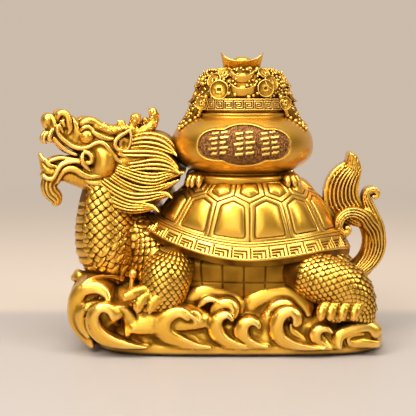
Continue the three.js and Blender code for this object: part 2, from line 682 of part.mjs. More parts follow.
const figure = new THREE.Group();
for (const [name, made] of [["dragon_turtle", turtleSolid], ["treasure_bowl", bowlSolid]]) {
  const mesh = new THREE.Mesh(geometryOf(made), gold);
  mesh.name = name;
  figure.add(mesh);
}

export default figure;
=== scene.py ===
"""Dresses the packed dragon turtle in carved antique gold and sets the studio round it.

Laid out as an add-on and run as a script. The carving is worked out in millimetres in the packed
frame, with the head towards -X and +Z up, and each finished piece is turned into metres.
"""

import math

import bpy
import numpy as np
import openvdb as vdb
from bpy.props import FloatProperty, FloatVectorProperty, IntProperty, PointerProperty
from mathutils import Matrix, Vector


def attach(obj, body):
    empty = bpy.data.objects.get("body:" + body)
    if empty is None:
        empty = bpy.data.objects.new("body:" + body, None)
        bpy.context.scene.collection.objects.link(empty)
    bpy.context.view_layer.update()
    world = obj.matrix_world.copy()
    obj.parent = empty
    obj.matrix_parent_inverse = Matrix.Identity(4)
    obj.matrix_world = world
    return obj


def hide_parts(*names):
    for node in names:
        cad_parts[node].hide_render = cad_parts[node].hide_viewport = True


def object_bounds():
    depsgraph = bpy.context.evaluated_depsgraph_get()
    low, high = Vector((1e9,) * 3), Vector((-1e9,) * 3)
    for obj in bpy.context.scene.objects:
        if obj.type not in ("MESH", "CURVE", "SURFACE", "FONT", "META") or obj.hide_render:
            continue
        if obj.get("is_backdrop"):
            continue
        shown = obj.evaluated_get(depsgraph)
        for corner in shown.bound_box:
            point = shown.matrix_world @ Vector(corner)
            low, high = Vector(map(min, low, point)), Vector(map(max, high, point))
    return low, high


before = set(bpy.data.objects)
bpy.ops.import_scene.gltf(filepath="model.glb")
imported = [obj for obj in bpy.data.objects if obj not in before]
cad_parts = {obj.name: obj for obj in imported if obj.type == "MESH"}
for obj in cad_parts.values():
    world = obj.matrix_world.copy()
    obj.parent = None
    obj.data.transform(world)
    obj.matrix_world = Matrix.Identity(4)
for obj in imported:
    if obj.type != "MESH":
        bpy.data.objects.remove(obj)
CAD_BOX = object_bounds()

bl_info = {
    "name": "Dragon Turtle With Treasure Bowl",
    "version": (1, 0, 0),
    "blender": (4, 5, 0),
    "location": "3D View > Sidebar > Dragon Turtle",
    "description": "Dresses a packed dragon turtle in carved antique gold",
    "category": "Add Mesh",
}

MM = 0.001
TAU = 2 * math.pi
FAR = 8.0  # distances in a clay block stop here
MARGIN = 2.4  # clay is worked this far round each strand
TURTLE = "dragon_turtle"
BOWL = "treasure_bowl"
EVERYWHERE = (slice(None),) * 3


# Curves, grids and meshes


def spline(knots, spacing):
    """Knots, as rows of x, y, z and radius, joined by a smooth line in even steps."""
    knots = np.asarray(knots, float)
    gaps = np.maximum(np.linalg.norm(np.diff(knots[:, :3], axis=0), axis=1), 1e-6) ** 0.5
    slopes = np.diff(knots, axis=0) / gaps[:, None]
    tangents = np.vstack([slopes[:1], slopes])
    if len(knots) > 2:
        before, after = gaps[:-1, None], gaps[1:, None]
        tangents[1:-1] = (slopes[:-1] * after + slopes[1:] * before) / (before + after)
        tangents[0] = 1.5 * slopes[0] - 0.5 * tangents[1]
        tangents[-1] = 1.5 * slopes[-1] - 0.5 * tangents[-2]
    t = np.linspace(0, 1, 12, endpoint=False)[:, None]
    rows = []
    for a, b, m, n, gap in zip(knots[:-1], knots[1:], tangents[:-1], tangents[1:], gaps):
        bend = (t**3 - 2 * t**2 + t) * gap * m + (t**3 - t**2) * gap * n
        rows.append((2 * t**3 - 3 * t**2 + 1) * a + (3 * t**2 - 2 * t**3) * b + bend)
    rows = np.vstack([*rows, knots[-1:]])
    way = np.concatenate([[0], np.cumsum(np.linalg.norm(np.diff(rows[:, :3], axis=0), axis=1))])
    stops = np.linspace(0, way[-1], max(2, int(math.ceil(way[-1] / spacing)) + 1))
    return np.stack([np.interp(stops, way, column) for column in rows.T], axis=1)


def smooth_least(a, b, blend):
    """The lesser of two distances, rounded where they meet."""
    least = np.minimum(a, b)
    if blend > 0:
        near = np.maximum(blend - np.abs(a - b), 0)
        least = least - near * near / (4 * blend)
    return least


def blurred(values, reach):
    """Values averaged over a cube that reaches this many cells each way."""
    for axis in range(3):
        pad = [(0, 0)] * 3
        pad[axis] = (reach + 1, reach)
        total = np.cumsum(np.pad(values, pad, mode="edge"), axis=axis, dtype=np.float64)
        count = values.shape[axis]
        high = np.take(total, np.arange(2 * reach + 1, 2 * reach + 1 + count), axis=axis)
        low = np.take(total, np.arange(count), axis=axis)
        values = ((high - low) / (2 * reach + 1)).astype(np.float32)
    return values


def grid_quads(rows, columns, wrap=True):
    """Faces of a grid of points laid row by row. Rows rise and columns run to the left seen from inside."""
    across = np.arange(columns if wrap else columns - 1)
    down = np.arange(rows - 1)[:, None] * columns
    near, next_one = down + across, down + (across + 1) % columns
    return np.stack([near, next_one, next_one + columns, near + columns], axis=-1).reshape(-1, 4)


def closed_rings(count, wide):
    """Faces of rings of points laid one after another, with the last ring joined to the first."""
    first = np.arange(wide)
    last = first + (count - 1) * wide
    closing = np.column_stack([last, np.roll(last, -1), np.roll(first, -1), first])
    return np.vstack([grid_quads(count, wide), closing])


def fan(ring, tip):
    """Triangles from a ring of point numbers to one point, facing out where the tip is above the ring."""
    ring = np.asarray(ring)
    return np.stack([ring, np.roll(ring, -1), np.full(len(ring), tip)], axis=1)


def capped(rows):
    """Rings of points from the lowest to the highest, closed with a point at each end."""
    rows = np.asarray(rows, float)
    count, columns = rows.shape[:2]
    points = np.vstack([rows.reshape(-1, 3), rows[0].mean(0), rows[-1].mean(0)])
    first = np.arange(columns)
    low = fan(first[::-1], count * columns)
    high = fan(first + (count - 1) * columns, count * columns + 1)
    return points, [grid_quads(count, columns), low, high]


def welded(points, faces):
    """Points that lie on each other are made one, and faces are renumbered to suit."""
    keys = np.round(np.asarray(points) * 1e3).astype(np.int64)
    _, first, where = np.unique(keys, axis=0, return_index=True, return_inverse=True)
    return np.asarray(points)[first], [where.reshape(-1)[part] for part in faces], first


def lay_mesh(name, points, faces, marks=None):
    """A smooth mesh object at the origin, from points in millimetres."""
    mesh = bpy.data.meshes.new(name)
    loops = np.concatenate([part.ravel() for part in faces]).astype(np.int32)
    sizes = np.concatenate([np.full(len(part), part.shape[1]) for part in faces])
    starts = np.concatenate([[0], np.cumsum(sizes)[:-1]]).astype(np.int32)
    mesh.vertices.add(len(points))
    mesh.vertices.foreach_set("co", (np.asarray(points, np.float32) * MM).ravel())
    mesh.loops.add(len(loops))
    mesh.loops.foreach_set("vertex_index", loops)
    mesh.polygons.add(len(sizes))
    mesh.polygons.foreach_set("loop_start", starts)
    mesh.update(calc_edges=True)
    for label, values in (marks or {}).items():
        layer = mesh.attributes.new(label, "FLOAT", "POINT")
        layer.data.foreach_set("value", np.asarray(values, np.float32))
    mesh.shade_smooth()
    piece = bpy.data.objects.new(name, mesh)
    bpy.context.scene.collection.objects.link(piece)
    return piece


def keep(piece, node, finish):
    """Finishes a piece that stands for a packed node."""
    piece.data.materials.clear()
    piece.data.materials.append(finish)
    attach(piece, "root")
    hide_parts(node)
    return piece


def mirrored(points, faces):
    """Points and faces together with their copies on the far side of the middle plane."""
    points = np.asarray(points)
    other = [part[:, ::-1] + len(points) for part in faces]
    return np.vstack([points, points * (1, -1, 1)]), [np.vstack(pair) for pair in zip(faces, other)]


# Clay


class Clay:
    """A block in which a form is modelled from strands and balls, as distances from its surface in mm."""

    def __init__(self, low, high, cell):
        self.cell = cell
        count = [int(math.ceil((b - a) / cell)) + 1 for a, b in zip(low, high)]
        middle = [(a + b) / 2 for a, b in zip(low, high)]
        self.axes = [m + cell * (np.arange(n) - (n - 1) / 2) for m, n in zip(middle, count)]
        self.low = np.array([axis[0] for axis in self.axes])
        self.field = np.full(count, FAR, np.float32)

    def window(self, low, high):
        """The part of the block between two corners."""
        size = np.array(self.field.shape)
        first = np.clip(np.floor((low - self.low) / self.cell).astype(int), 0, size)
        last = np.clip(np.ceil((high - self.low) / self.cell).astype(int) + 1, 0, size)
        return tuple(slice(a, b) for a, b in zip(first, last))

    def grid(self, window=EVERYWHERE):
        """Places of the block's cells along each axis, shaped to be worked with together."""
        x, y, z = (axis[part] for axis, part in zip(self.axes, window))
        return x[:, None, None], y[None, :, None], z[None, None, :]

    def mix(self, window, other, blend, cut):
        """Adds another form to the block, or cuts it away."""
        here = self.field[window]
        if cut:
            self.field[window] = -smooth_least(-here, other, blend)
        else:
            self.field[window] = smooth_least(here, other, blend)

    def ball(self, centre, size, pitch=0.0, blend=2.0, cut=False):
        """An egg of three half sizes, pitched up at its -X end by an angle in degrees."""
        centre, size = np.asarray(centre, float), np.asarray(size, float)
        reach = size.max() + blend + MARGIN
        window = self.window(centre - reach, centre + reach)
        if 0 in self.field[window].shape:
            return
        x, y, z = (g - c for g, c in zip(self.grid(window), centre))
        turn = math.radians(pitch)
        x, z = x * math.cos(turn) - z * math.sin(turn), x * math.sin(turn) + z * math.cos(turn)
        near = np.sqrt((x / size[0]) ** 2 + (y / size[1]) ** 2 + (z / size[2]) ** 2)
        steep = np.sqrt((x / size[0] ** 2) ** 2 + (y / size[1] ** 2) ** 2 + (z / size[2] ** 2) ** 2)
        distance = near * (near - 1) / np.maximum(steep, 1e-6)
        self.mix(window, np.minimum(distance, FAR).astype(np.float32), blend, cut)

    def strand(
        self, knots, blend=1.0, cut=False, flat=1.0, across=(0, 1, 0),
        flutes=0, depth=0.0, rings=0.0, ring_depth=0.0,
    ):
        """A round strand along a line. flat widens it in the direction across, flutes groove
        it lengthways, and rings wrinkle it crosswise at a spacing."""
        knots = np.asarray(knots, float)
        line = spline(knots, rings / 4 if rings else max(1.3 * self.cell, 0.5 * knots[:, 3].mean()))
        if rings:
            line[:, 3] += ring_depth * np.cos(TAU * np.arange(len(line)) / 4)
        line[:, 3] = np.maximum(line[:, 3], 0.15)
        wide = max(1.0, flat)
        reach = line[:, 3].max() * wide + blend + MARGIN
        window = self.window(line[:, :3].min(0) - reach, line[:, :3].max(0) + reach)
        if 0 in self.field[window].shape:
            return
        first = np.array([part.start for part in window])
        chain = np.full(self.field[window].shape, FAR, np.float32)
        across = np.asarray(across, float) / np.linalg.norm(across)
        for a, b in zip(line[:-1], line[1:]):
            reach = max(a[3], b[3]) * wide + blend + MARGIN
            part = self.window(np.minimum(a, b)[:3] - reach, np.maximum(a, b)[:3] + reach)
            inner = tuple(slice(p.start - f, p.stop - f) for p, f in zip(part, first))
            if 0 in chain[inner].shape:
                continue
            run = b[:3] - a[:3]
            x, y, z = (g - c for g, c in zip(self.grid(part), a[:3]))
            t = np.clip((x * run[0] + y * run[1] + z * run[2]) / max(run @ run, 1e-9), 0, 1)
            x, y, z = x - t * run[0], y - t * run[1], z - t * run[2]
            off = x * x + y * y + z * z
            radius = a[3] + t * (b[3] - a[3])
            if flutes or flat != 1:
                side = across - run * (across @ run) / max(run @ run, 1e-9)
                side /= max(np.linalg.norm(side), 1e-6)
                beside = x * side[0] + y * side[1] + z * side[2]
            if flutes:
                up = np.cross(run, side) / max(np.linalg.norm(run), 1e-6)
                angle = np.arctan2(x * up[0] + y * up[1] + z * up[2], beside)
                radius = radius * (1 - depth * (1 - np.abs(np.cos(angle * flutes / 2))))
            if flat != 1:
                off = off - beside**2 * (1 - 1 / flat**2)
            distance = np.sqrt(np.maximum(off, 0)) - radius
            np.minimum(chain[inner], distance, out=chain[inner])
        self.mix(window, chain, blend, cut)

    def band(self, rows, shape, blend=1.0, back=6.0):
        """A body behind a broad band that follows a line. Rows are x, y, z and half width,
        with y where the band's face is. shape gives how far behind its face a place lies,
        from its share across the band, -1 to 1 with the hollow side last, and the half width."""
        rows = np.asarray(rows, float)
        line = spline(rows, max(1.5 * self.cell, 0.3 * rows[:, 3].mean()))
        reach = line[:, 3].max() + blend + MARGIN
        low, high = line[:, :3].min(0) - reach, line[:, :3].max(0) + reach
        high[1] = back + blend + 2 * self.cell
        window = self.window(low, high)
        if 0 in self.field[window].shape:
            return
        x, y, z = self.grid(window)
        flat_x, flat_z = (g[..., None] for g in np.broadcast_arrays(x[:, 0, :], z[:, 0, :]))
        start, run = line[:-1], np.diff(line, axis=0)
        dx, dz = flat_x - start[:, 0], flat_z - start[:, 2]
        squared = np.maximum(run[:, 0] ** 2 + run[:, 2] ** 2, 1e-9)
        t = np.clip((dx * run[:, 0] + dz * run[:, 2]) / squared, 0, 1)
        off = np.hypot(dx - t * run[:, 0], dz - t * run[:, 2])
        beside = (dx * run[:, 2] - dz * run[:, 0]) / np.sqrt(squared)
        radius = np.maximum(start[:, 3] + t * run[:, 3], 0.15)
        nearest = np.argmin(off / radius, axis=-1)[..., None]
        face = start[:, 1] + t * run[:, 1]
        off, beside, radius, face = (
            np.take_along_axis(part, nearest, axis=-1)[..., 0] for part in (off, beside, radius, face)
        )
        beyond = np.sqrt(np.maximum(off**2 - beside**2, 0)) / radius
        ends = radius * (1 - np.sqrt(np.clip(1 - beyond**2, 0, 1)))
        front = face + shape(np.clip(beside / radius, -1, 1), radius) + ends
        slope = 1 / np.sqrt(1 + sum(g * g for g in np.gradient(front, self.cell)))
        body = np.maximum((front[:, None, :] - y) * slope[:, None, :], (off - radius)[:, None, :])
        body = np.maximum(body, y - back)
        self.mix(window, np.clip(body, -FAR, FAR).astype(np.float32), blend, False)

    def front(self, x, z):
        """Where the clay's surface is, along Y, in front of places given by x and z."""
        size = self.field.shape
        i = np.clip(np.round((x - self.low[0]) / self.cell).astype(int), 0, size[0] - 1)
        k = np.clip(np.round((z - self.low[2]) / self.cell).astype(int), 0, size[2] - 1)
        columns = self.field[i, :, k]
        inside = columns <= 0
        j = np.argmax(inside, axis=1)
        before = columns[np.arange(len(i)), np.maximum(j - 1, 0)]
        here = columns[np.arange(len(i)), j]
        share = np.clip(before / np.maximum(before - here, 1e-6), 0, 1)
        y = self.axes[1][np.maximum(j - 1, 0)] + share * self.cell
        return np.where(inside.any(axis=1), y, np.nan)

    def draped(self, knots, proud):
        """Knots moved along Y so that they lie on the clay, proud by a share of their radius."""
        line = spline(knots, 1.5)
        y = self.front(line[:, 0], line[:, 2])
        good = ~np.isnan(y)
        if not good.any():
            return line
        places = np.arange(len(y))
        y = np.interp(places, places[good], y[good])
        y = np.convolve(np.pad(y, 2, mode="edge"), np.full(5, 0.2), mode="valid")
        line[:, 1] = y - proud * line[:, 3]
        return line

    def ridge(self, knots, proud=0.0, blend=0.8, **form):
        """A strand laid on the clay."""
        self.strand(self.draped(knots, proud), blend=blend, **form)

    def groove(self, knots, proud=0.4, blend=0.8, **form):
        """A strand cut into the clay."""
        self.strand(self.draped(knots, proud), blend=blend, cut=True, **form)

    def mirror(self):
        """Makes the two sides of the middle plane alike, with the clay of both."""
        self.field = np.minimum(self.field, self.field[:, ::-1, :])

    def trim(self, distance):
        """Takes away all clay where a distance is more than zero."""
        self.field = np.maximum(self.field, distance.astype(np.float32))

    def at(self, points, values=None):
        """Distances, or other values of the block, read between its cells."""
        values = self.field if values is None else values
        spot = (np.asarray(points) - self.low) / self.cell
        base = np.clip(np.floor(spot).astype(int), 0, np.array(values.shape) - 2)
        share = np.clip(spot - base, 0, 1)
        total = 0
        for corner in np.ndindex(2, 2, 2):
            weight = np.prod(np.where(corner, share, 1 - share), axis=-1)
            i, j, k = np.moveaxis(base + corner, -1, 0)
            total = total + weight * values[i, j, k]
        return total

    def facing(self, points):
        """Which way is out at points on the surface."""
        step = self.cell * np.eye(3)
        out = np.stack([self.at(points + s) - self.at(points - s) for s in step], axis=-1)
        return out / np.maximum(np.linalg.norm(out, axis=-1, keepdims=True), 1e-6)

    def surface(self, adaptivity=0.03, reach=1.6):
        """The clay's surface, with how far each point is sunk in a crevice (-1) or stands on an edge (+1)."""
        for axis in range(3):  # closed where the form meets the block's own sides
            ends = [slice(None)] * 3
            for end in (0, -1):
                ends[axis] = end
                self.field[tuple(ends)] = np.maximum(self.field[tuple(ends)], 0.5 * self.cell)
        block = vdb.FloatGrid()
        block.background = 3.0
        block.copyFromArray(np.clip(self.field, -3, 3))
        points, triangles, quads = block.convertToPolygons(isovalue=0.0, adaptivity=adaptivity)
        points = np.asarray(points, float) * self.cell + self.low
        faces = [np.asarray(quads, int).reshape(-1, 4), np.asarray(triangles, int).reshape(-1, 3)]
        corners = points[faces[0][:, :3]] if len(faces[0]) else points[faces[1]]
        volume = np.einsum("ij,ij->i", corners[:, 0], np.cross(corners[:, 1], corners[:, 2])).sum()
        if volume < 0:
            faces = [part[:, ::-1] for part in faces]
        soft = blurred(self.field, max(1, int(round(reach / self.cell))))
        relief = np.clip((self.at(points, soft) - self.at(points)) / (0.3 * reach), -1, 1)
        return points, [part for part in faces if len(part)], {"relief": relief}


# Geometry Nodes


def wire(tree, *links):
    for source, target in links:
        tree.links.new(source, target)


def points_tree():
    """A node tree that sets a small piece on every point, turned and sized by the points' attributes."""
    if "Set on points" in bpy.data.node_groups:
        return bpy.data.node_groups["Set on points"]
    tree = bpy.data.node_groups.new("Set on points", "GeometryNodeTree")
    face = tree.interface
    face.new_socket("Points", in_out="INPUT", socket_type="NodeSocketGeometry")
    face.new_socket("Piece", in_out="INPUT", socket_type="NodeSocketObject")
    face.new_socket("Size", in_out="INPUT", socket_type="NodeSocketFloat").default_value = 1.0
    face.new_socket("Finish", in_out="INPUT", socket_type="NodeSocketMaterial")
    face.new_socket("Pieces", in_out="OUTPUT", socket_type="NodeSocketGeometry")
    add = tree.nodes.new
    inputs, result = add("NodeGroupInput"), add("NodeGroupOutput")
    piece, placed = add("GeometryNodeObjectInfo"), add("GeometryNodeInstanceOnPoints")
    turn, size = add("GeometryNodeInputNamedAttribute"), add("GeometryNodeInputNamedAttribute")
    euler, sized = add("FunctionNodeEulerToRotation"), add("ShaderNodeVectorMath")
    plain, finish = add("GeometryNodeRealizeInstances"), add("GeometryNodeSetMaterial")
    sized.operation = "SCALE"
    for node, label in ((turn, "turn"), (size, "size")):
        node.data_type = "FLOAT_VECTOR"
        node.inputs["Name"].default_value = label
    wire(
        tree,
        (inputs.outputs["Points"], placed.inputs["Points"]),
        (inputs.outputs["Piece"], piece.inputs["Object"]),
        (piece.outputs["Geometry"], placed.inputs["Instance"]),
        (turn.outputs["Attribute"], euler.inputs[0]),
        (euler.outputs[0], placed.inputs["Rotation"]),
        (size.outputs["Attribute"], sized.inputs[0]),
        (inputs.outputs["Size"], sized.inputs["Scale"]),
        (sized.outputs[0], placed.inputs["Scale"]),
        (placed.outputs["Instances"], plain.inputs["Geometry"]),
        (plain.outputs["Geometry"], finish.inputs["Geometry"]),
        (inputs.outputs["Finish"], finish.inputs["Material"]),
        (finish.outputs["Geometry"], result.inputs["Pieces"]),
    )
    return tree


def set_on_points(name, template, places, frames, sizes, finish, node, scale=1.0):
    """A piece made of copies of a template. frames are three columns: across, along and out."""
    seeds = bpy.data.meshes.new(name + ".places")
    seeds.from_pydata([tuple(p) for p in np.asarray(places) * MM], [], [])
    turns = np.array([rotation_of(f) for f in frames], np.float32)
    for label, values in (("turn", turns), ("size", np.asarray(sizes, np.float32))):
        layer = seeds.attributes.new(label, "FLOAT_VECTOR", "POINT")
        layer.data.foreach_set("vector", np.ascontiguousarray(values).ravel())
    host = bpy.data.objects.new(name + ".host", seeds)
    bpy.context.scene.collection.objects.link(host)
    modifier = host.modifiers.new("Set on points", "NODES")
    modifier.node_group = points_tree()
    named = {item.name: item.identifier for item in modifier.node_group.interface.items_tree}
    modifier[named["Piece"]] = template
    modifier[named["Size"]] = scale
    modifier[named["Finish"]] = finish
    view = bpy.context.evaluated_depsgraph_get()
    mesh = bpy.data.meshes.new_from_object(host.evaluated_get(view), depsgraph=view)
    mesh.name = name
    mesh.shade_smooth()
    host.modifiers.clear()
    bpy.data.objects.remove(host)
    bpy.data.objects.remove(template)
    piece = bpy.data.objects.new(name, mesh)
    bpy.context.scene.collection.objects.link(piece)
    return keep(piece, node, finish)


def rotation_of(columns):
    """The XYZ turn that brings the axes onto three columns: across, along and out."""
    a, b, c = np.asarray(columns, float)
    y = math.asin(max(-1.0, min(1.0, -a[2])))
    return math.atan2(b[2], c[2]), y, math.atan2(a[1], a[0])


def frames_on(out, along):
    """Columns across, along and out for each place, square to each other."""
    out = out / np.linalg.norm(out, axis=-1, keepdims=True)
    along = along - out * (along * out).sum(-1, keepdims=True)
    along = along / np.maximum(np.linalg.norm(along, axis=-1, keepdims=True), 1e-6)
    return np.stack([np.cross(along, out), along, out], axis=1)


# Settings


def length(name, description, default):
    return FloatProperty(
        name=name, description=description, default=default,
        unit="LENGTH", subtype="DISTANCE", precision=4,
    )


def tint(name, description, default):
    return FloatVectorProperty(
        name=name, description=description, default=default,
        subtype="COLOR", size=3, min=0, max=1,
    )


class GoldFinish(bpy.types.PropertyGroup):
    """Colours and grain of the antique gold."""

    gold: tint("Gold", "Colour of the open surfaces", (0.86, 0.46, 0.04))
    # Besides wear, this lighter gold paints highlights on raised edges.
    bright: tint("Worn gold", "Colour of edges that wear has brightened", (1.0, 0.64, 0.15))
    # Besides real patina in crevices, this brown paints shade wherever nearby gold closes a surface in.
    brown: tint("Patina", "Colour that lies in the crevices", (0.11, 0.035, 0.003))
    ground: tint("Sunk ground", "Colour of the grounds of the key band and the panel", (0.15, 0.07, 0.022))
    roughness: FloatProperty(name="Roughness", description="How dull the gold is", default=0.33, min=0, max=1)
    # The patina reach is the distance of the ambient occlusion that paints shade into closed-in places.
    reach: length("Patina reach", "How far the patina spreads out of a crevice", 0.006)
    grain: length("Satin grain", "Size of the fine unevenness in the gold", 0.0012)


class CarvingSizes(bpy.types.PropertyGroup):
    """How finely the hand-carved pieces are modelled."""

    wave_cell: length("Wave grain", "Finest step in the wave base", 0.0009)
    limb_cell: length("Limb grain", "Finest step in the neck and the legs", 0.0014)
    paw_cell: length("Paw grain", "Finest step in the paws", 0.0007)
    head_cell: length("Head grain", "Finest step in the head", 0.00055)
    hair_cell: length("Hair grain", "Finest step in the mane and the tail", 0.00065)


class ShellSizes(bpy.types.PropertyGroup):
    """Sizes of the shell's plates and its rim."""

    seam: length("Seam depth", "Depth of the joints between the plates", 0.0009)
    band: length("Plate edge", "Width of the flat edge round each plate", 0.0033)
    pillow: length("Pillow height", "How far the middle of a plate stands proud", 0.0009)
    key_cells: IntProperty(name="Key cells", description="Keys round the rim", default=32, min=8)
    key_depth: length("Key depth", "Depth of the key pattern on the rim", 0.0009)


class ScaleSizes(bpy.types.PropertyGroup):
    """Sizes of the scales on the neck and the legs."""

    neck_around: IntProperty(name="Scales round the neck", description="Scales in one row", default=19, min=6)
    leg_around: IntProperty(name="Scales round a leg", description="Scales in one row", default=23, min=6)
    neck_step: length("Neck rows", "Space between rows of scales on the neck", 0.0033)
    leg_step: length("Leg rows", "Space between rows of scales on the legs", 0.0026)
    breast_plates: IntProperty(
        name="Breast plates", description="Plates down the front of the neck", default=13, min=3
    )
    lift: FloatProperty(
        name="Lift", description="Thickness of a scale's tip, as a share of its width", default=0.22
    )


class BowlSizes(bpy.types.PropertyGroup):
    """Sizes of the treasure bowl and what fills it."""

    panel_relief: length("Panel relief", "How far the panel's edge stands out", 0.0012)
    key_relief: length("Key relief", "How far the key pattern on the collar stands out", 0.0006)
    bead: length("Bead diameter", "Diameter of the pearls in the heap", 0.0036)
    coin: length("Coin diameter", "Diameter of the coins in the heap", 0.0142)
    seed: IntProperty(name="Seed", description="Start of the random places in the heap", default=7)


class StudioSizes(bpy.types.PropertyGroup):
    """Camera, lamps and floor."""

    lens: FloatProperty(
        name="Lens", description="Focal length on a 36 mm sensor", default=88.0, unit="CAMERA"
    )
    distance: length("Camera distance", "From the lens to the middle of the view", 0.760)
    elevation: FloatProperty(
        name="Elevation", description="Camera above the horizon", default=math.radians(7), subtype="ANGLE"
    )
    floor: tint("Table", "Colour of the floor near the figure", (0.4, 0.355, 0.32))
    wall: tint("Backdrop", "Colour behind the figure", (0.60, 0.50, 0.41))
    front: tint("Front", "Colour of the dim room in front of the figure", (0.10, 0.078, 0.055))
    above: tint("Above", "Colour of the soft light overhead", (0.62, 0.57, 0.50))
    sky: FloatProperty(name="Sky", description="Brightness of the soft light all round", default=1.0)
    key: FloatProperty(
        name="Key lamp", description="Power of the large lamp at the left", default=26.0, unit="POWER"
    )


GROUPS = {
    "gold_finish": GoldFinish,
    "carving_sizes": CarvingSizes,
    "shell_sizes": ShellSizes,
    "scale_sizes": ScaleSizes,
    "bowl_sizes": BowlSizes,
    "studio_sizes": StudioSizes,
}


# Finish


def node_of(tree, kind, **values):
    node = tree.nodes.new(kind)
    for name, value in values.items():
        setattr(node, name, value)
    return node


def antique_gold():
    """Satin gold with brown patina in its crevices and painted occlusion shade wherever nearby gold closes it
    in, rubbed bright on its edges by wear and by a painted highlight.
    """
    if "Antique gold" in bpy.data.materials:
        return bpy.data.materials["Antique gold"]
    look = bpy.context.scene.gold_finish
    finish = bpy.data.materials.new("Antique gold")
    finish.use_nodes = True
    tree = finish.node_tree
    shader = tree.nodes["Principled BSDF"]
    shader.inputs["Metallic"].default_value = 1.0
    shader.inputs["Coat Roughness"].default_value = 0.2
    relief = node_of(tree, "ShaderNodeAttribute", attribute_name="relief")
    sunk = node_of(tree, "ShaderNodeAttribute", attribute_name="ground")
    place = node_of(tree, "ShaderNodeTexCoord")
    shade = node_of(tree, "ShaderNodeAmbientOcclusion", samples=6)
    shade.inputs["Distance"].default_value = look.reach
    blotch = node_of(tree, "ShaderNodeTexNoise")
    blotch.inputs["Scale"].default_value = 0.08 / look.grain
    blotch.inputs["Detail"].default_value = 3.0
    grain = node_of(tree, "ShaderNodeTexNoise")
    grain.inputs["Scale"].default_value = 1.0 / look.grain
    grain.inputs["Detail"].default_value = 4.0
    speck = node_of(tree, "ShaderNodeTexVoronoi")
    speck.inputs["Scale"].default_value = 1.2 / look.grain
    wire(tree, *((place.outputs["Object"], n.inputs["Vector"]) for n in (blotch, grain, speck)))

    def ramp(source, low, high, to_low, to_high):
        node = node_of(tree, "ShaderNodeMapRange", interpolation_type="SMOOTHSTEP")
        for slot, value in zip(("From Min", "From Max", "To Min", "To Max"), (low, high, to_low, to_high)):
            node.inputs[slot].default_value = value
        wire(tree, (source, node.inputs["Value"]))
        return node.outputs["Result"]

    def sum_of(a, b, operation="ADD", limit=True):
        node = node_of(tree, "ShaderNodeMath", operation=operation, use_clamp=limit)
        for slot, value in zip(node.inputs, (a, b)):
            if isinstance(value, (int, float)):
                slot.default_value = value
            else:
                wire(tree, (value, slot))
        return node.outputs[0]

    def tinted(share, under, over):
        node = node_of(tree, "ShaderNodeMix", data_type="RGBA")
        wire(tree, (share, node.inputs["Factor"]))
        for slot, value in ((node.inputs[6], under), (node.inputs[7], over)):
            if isinstance(value, bpy.types.NodeSocket):
                wire(tree, (value, slot))
            else:
                slot.default_value = (*value, 1.0)
        return node.outputs[2]

    # Dark relief marks put on the belly, on the skin under the scales, at the scales' roots and on the rim's
    # lip add painted shade here, beside the patina of real crevices.
    crevice = ramp(relief.outputs["Fac"], -0.42, 0.12, 1.0, 0.0)
    # Painted shade: ambient occlusion darkens any surface that nearby gold closes in, between close parts as
    # well as in crevices.
    closed = ramp(shade.outputs["AO"], 0.3, 0.92, 0.95, 0.0)
    uneven = ramp(blotch.outputs["Fac"], 0.3, 0.75, 0.75, 1.0)
    patina_and_shade = sum_of(sum_of(crevice, closed, "MAXIMUM"), uneven, "MULTIPLY")
    # Raised edges take the lighter gold, partly for wear and partly as a painted highlight.
    wear_and_highlight = ramp(relief.outputs["Fac"], 0.15, 0.8, 0.0, 0.8)
    grounded = ramp(speck.outputs["Distance"], 0.1, 0.7, 0.0, 1.0)
    flecked = tinted(grounded, tuple(min(1.0, 4.5 * c) for c in look.ground), tuple(look.ground))
    colour = tinted(wear_and_highlight, tuple(look.gold), tuple(look.bright))
    colour = tinted(patina_and_shade, colour, tuple(look.brown))
    colour = tinted(sunk.outputs["Fac"], colour, flecked)
    wire(tree, (colour, shader.inputs["Base Color"]))
    dull = ramp(blotch.outputs["Fac"], 0.2, 0.8, look.roughness - 0.04, look.roughness + 0.07)
    dull = sum_of(dull, sum_of(patina_and_shade, 0.22, "MULTIPLY"))
    dull = sum_of(dull, sum_of(sunk.outputs["Fac"], 0.3, "MULTIPLY"))
    wire(tree, (dull, shader.inputs["Roughness"]))
    bare = sum_of(patina_and_shade, sunk.outputs["Fac"], "MAXIMUM")
    wire(tree, (ramp(bare, 0.0, 0.8, 0.5, 0.0), shader.inputs["Coat Weight"]))
    bump = node_of(tree, "ShaderNodeBump")
    bump.inputs["Strength"].default_value = 0.12
    bump.inputs["Distance"].default_value = 0.0003
    wire(tree, (grain.outputs["Fac"], bump.inputs["Height"]), (bump.outputs[0], shader.inputs["Normal"]))
    return finish


# Wave base

BASE_CENTRE_X = 19.0
BASE_HALF = (108.0, 58.0)
# Heights up the base, and how far its outline is drawn in at each
BASE_LEVELS = ((0, 0.8, 2.5, 5, 7.5, 9.5, 22, 31, 34), (10, 5, 2.5, 1.5, 1.5, 2.5, 6, 14, 28))
BASE_REACH = 64.0  # nothing on the base stands out further than this from the middle plane
WAVE_FACE = 60.0  # how far the waves stand out from the middle plane
BOW_X = -80.0  # waves whose foot lies before this run right across the bow
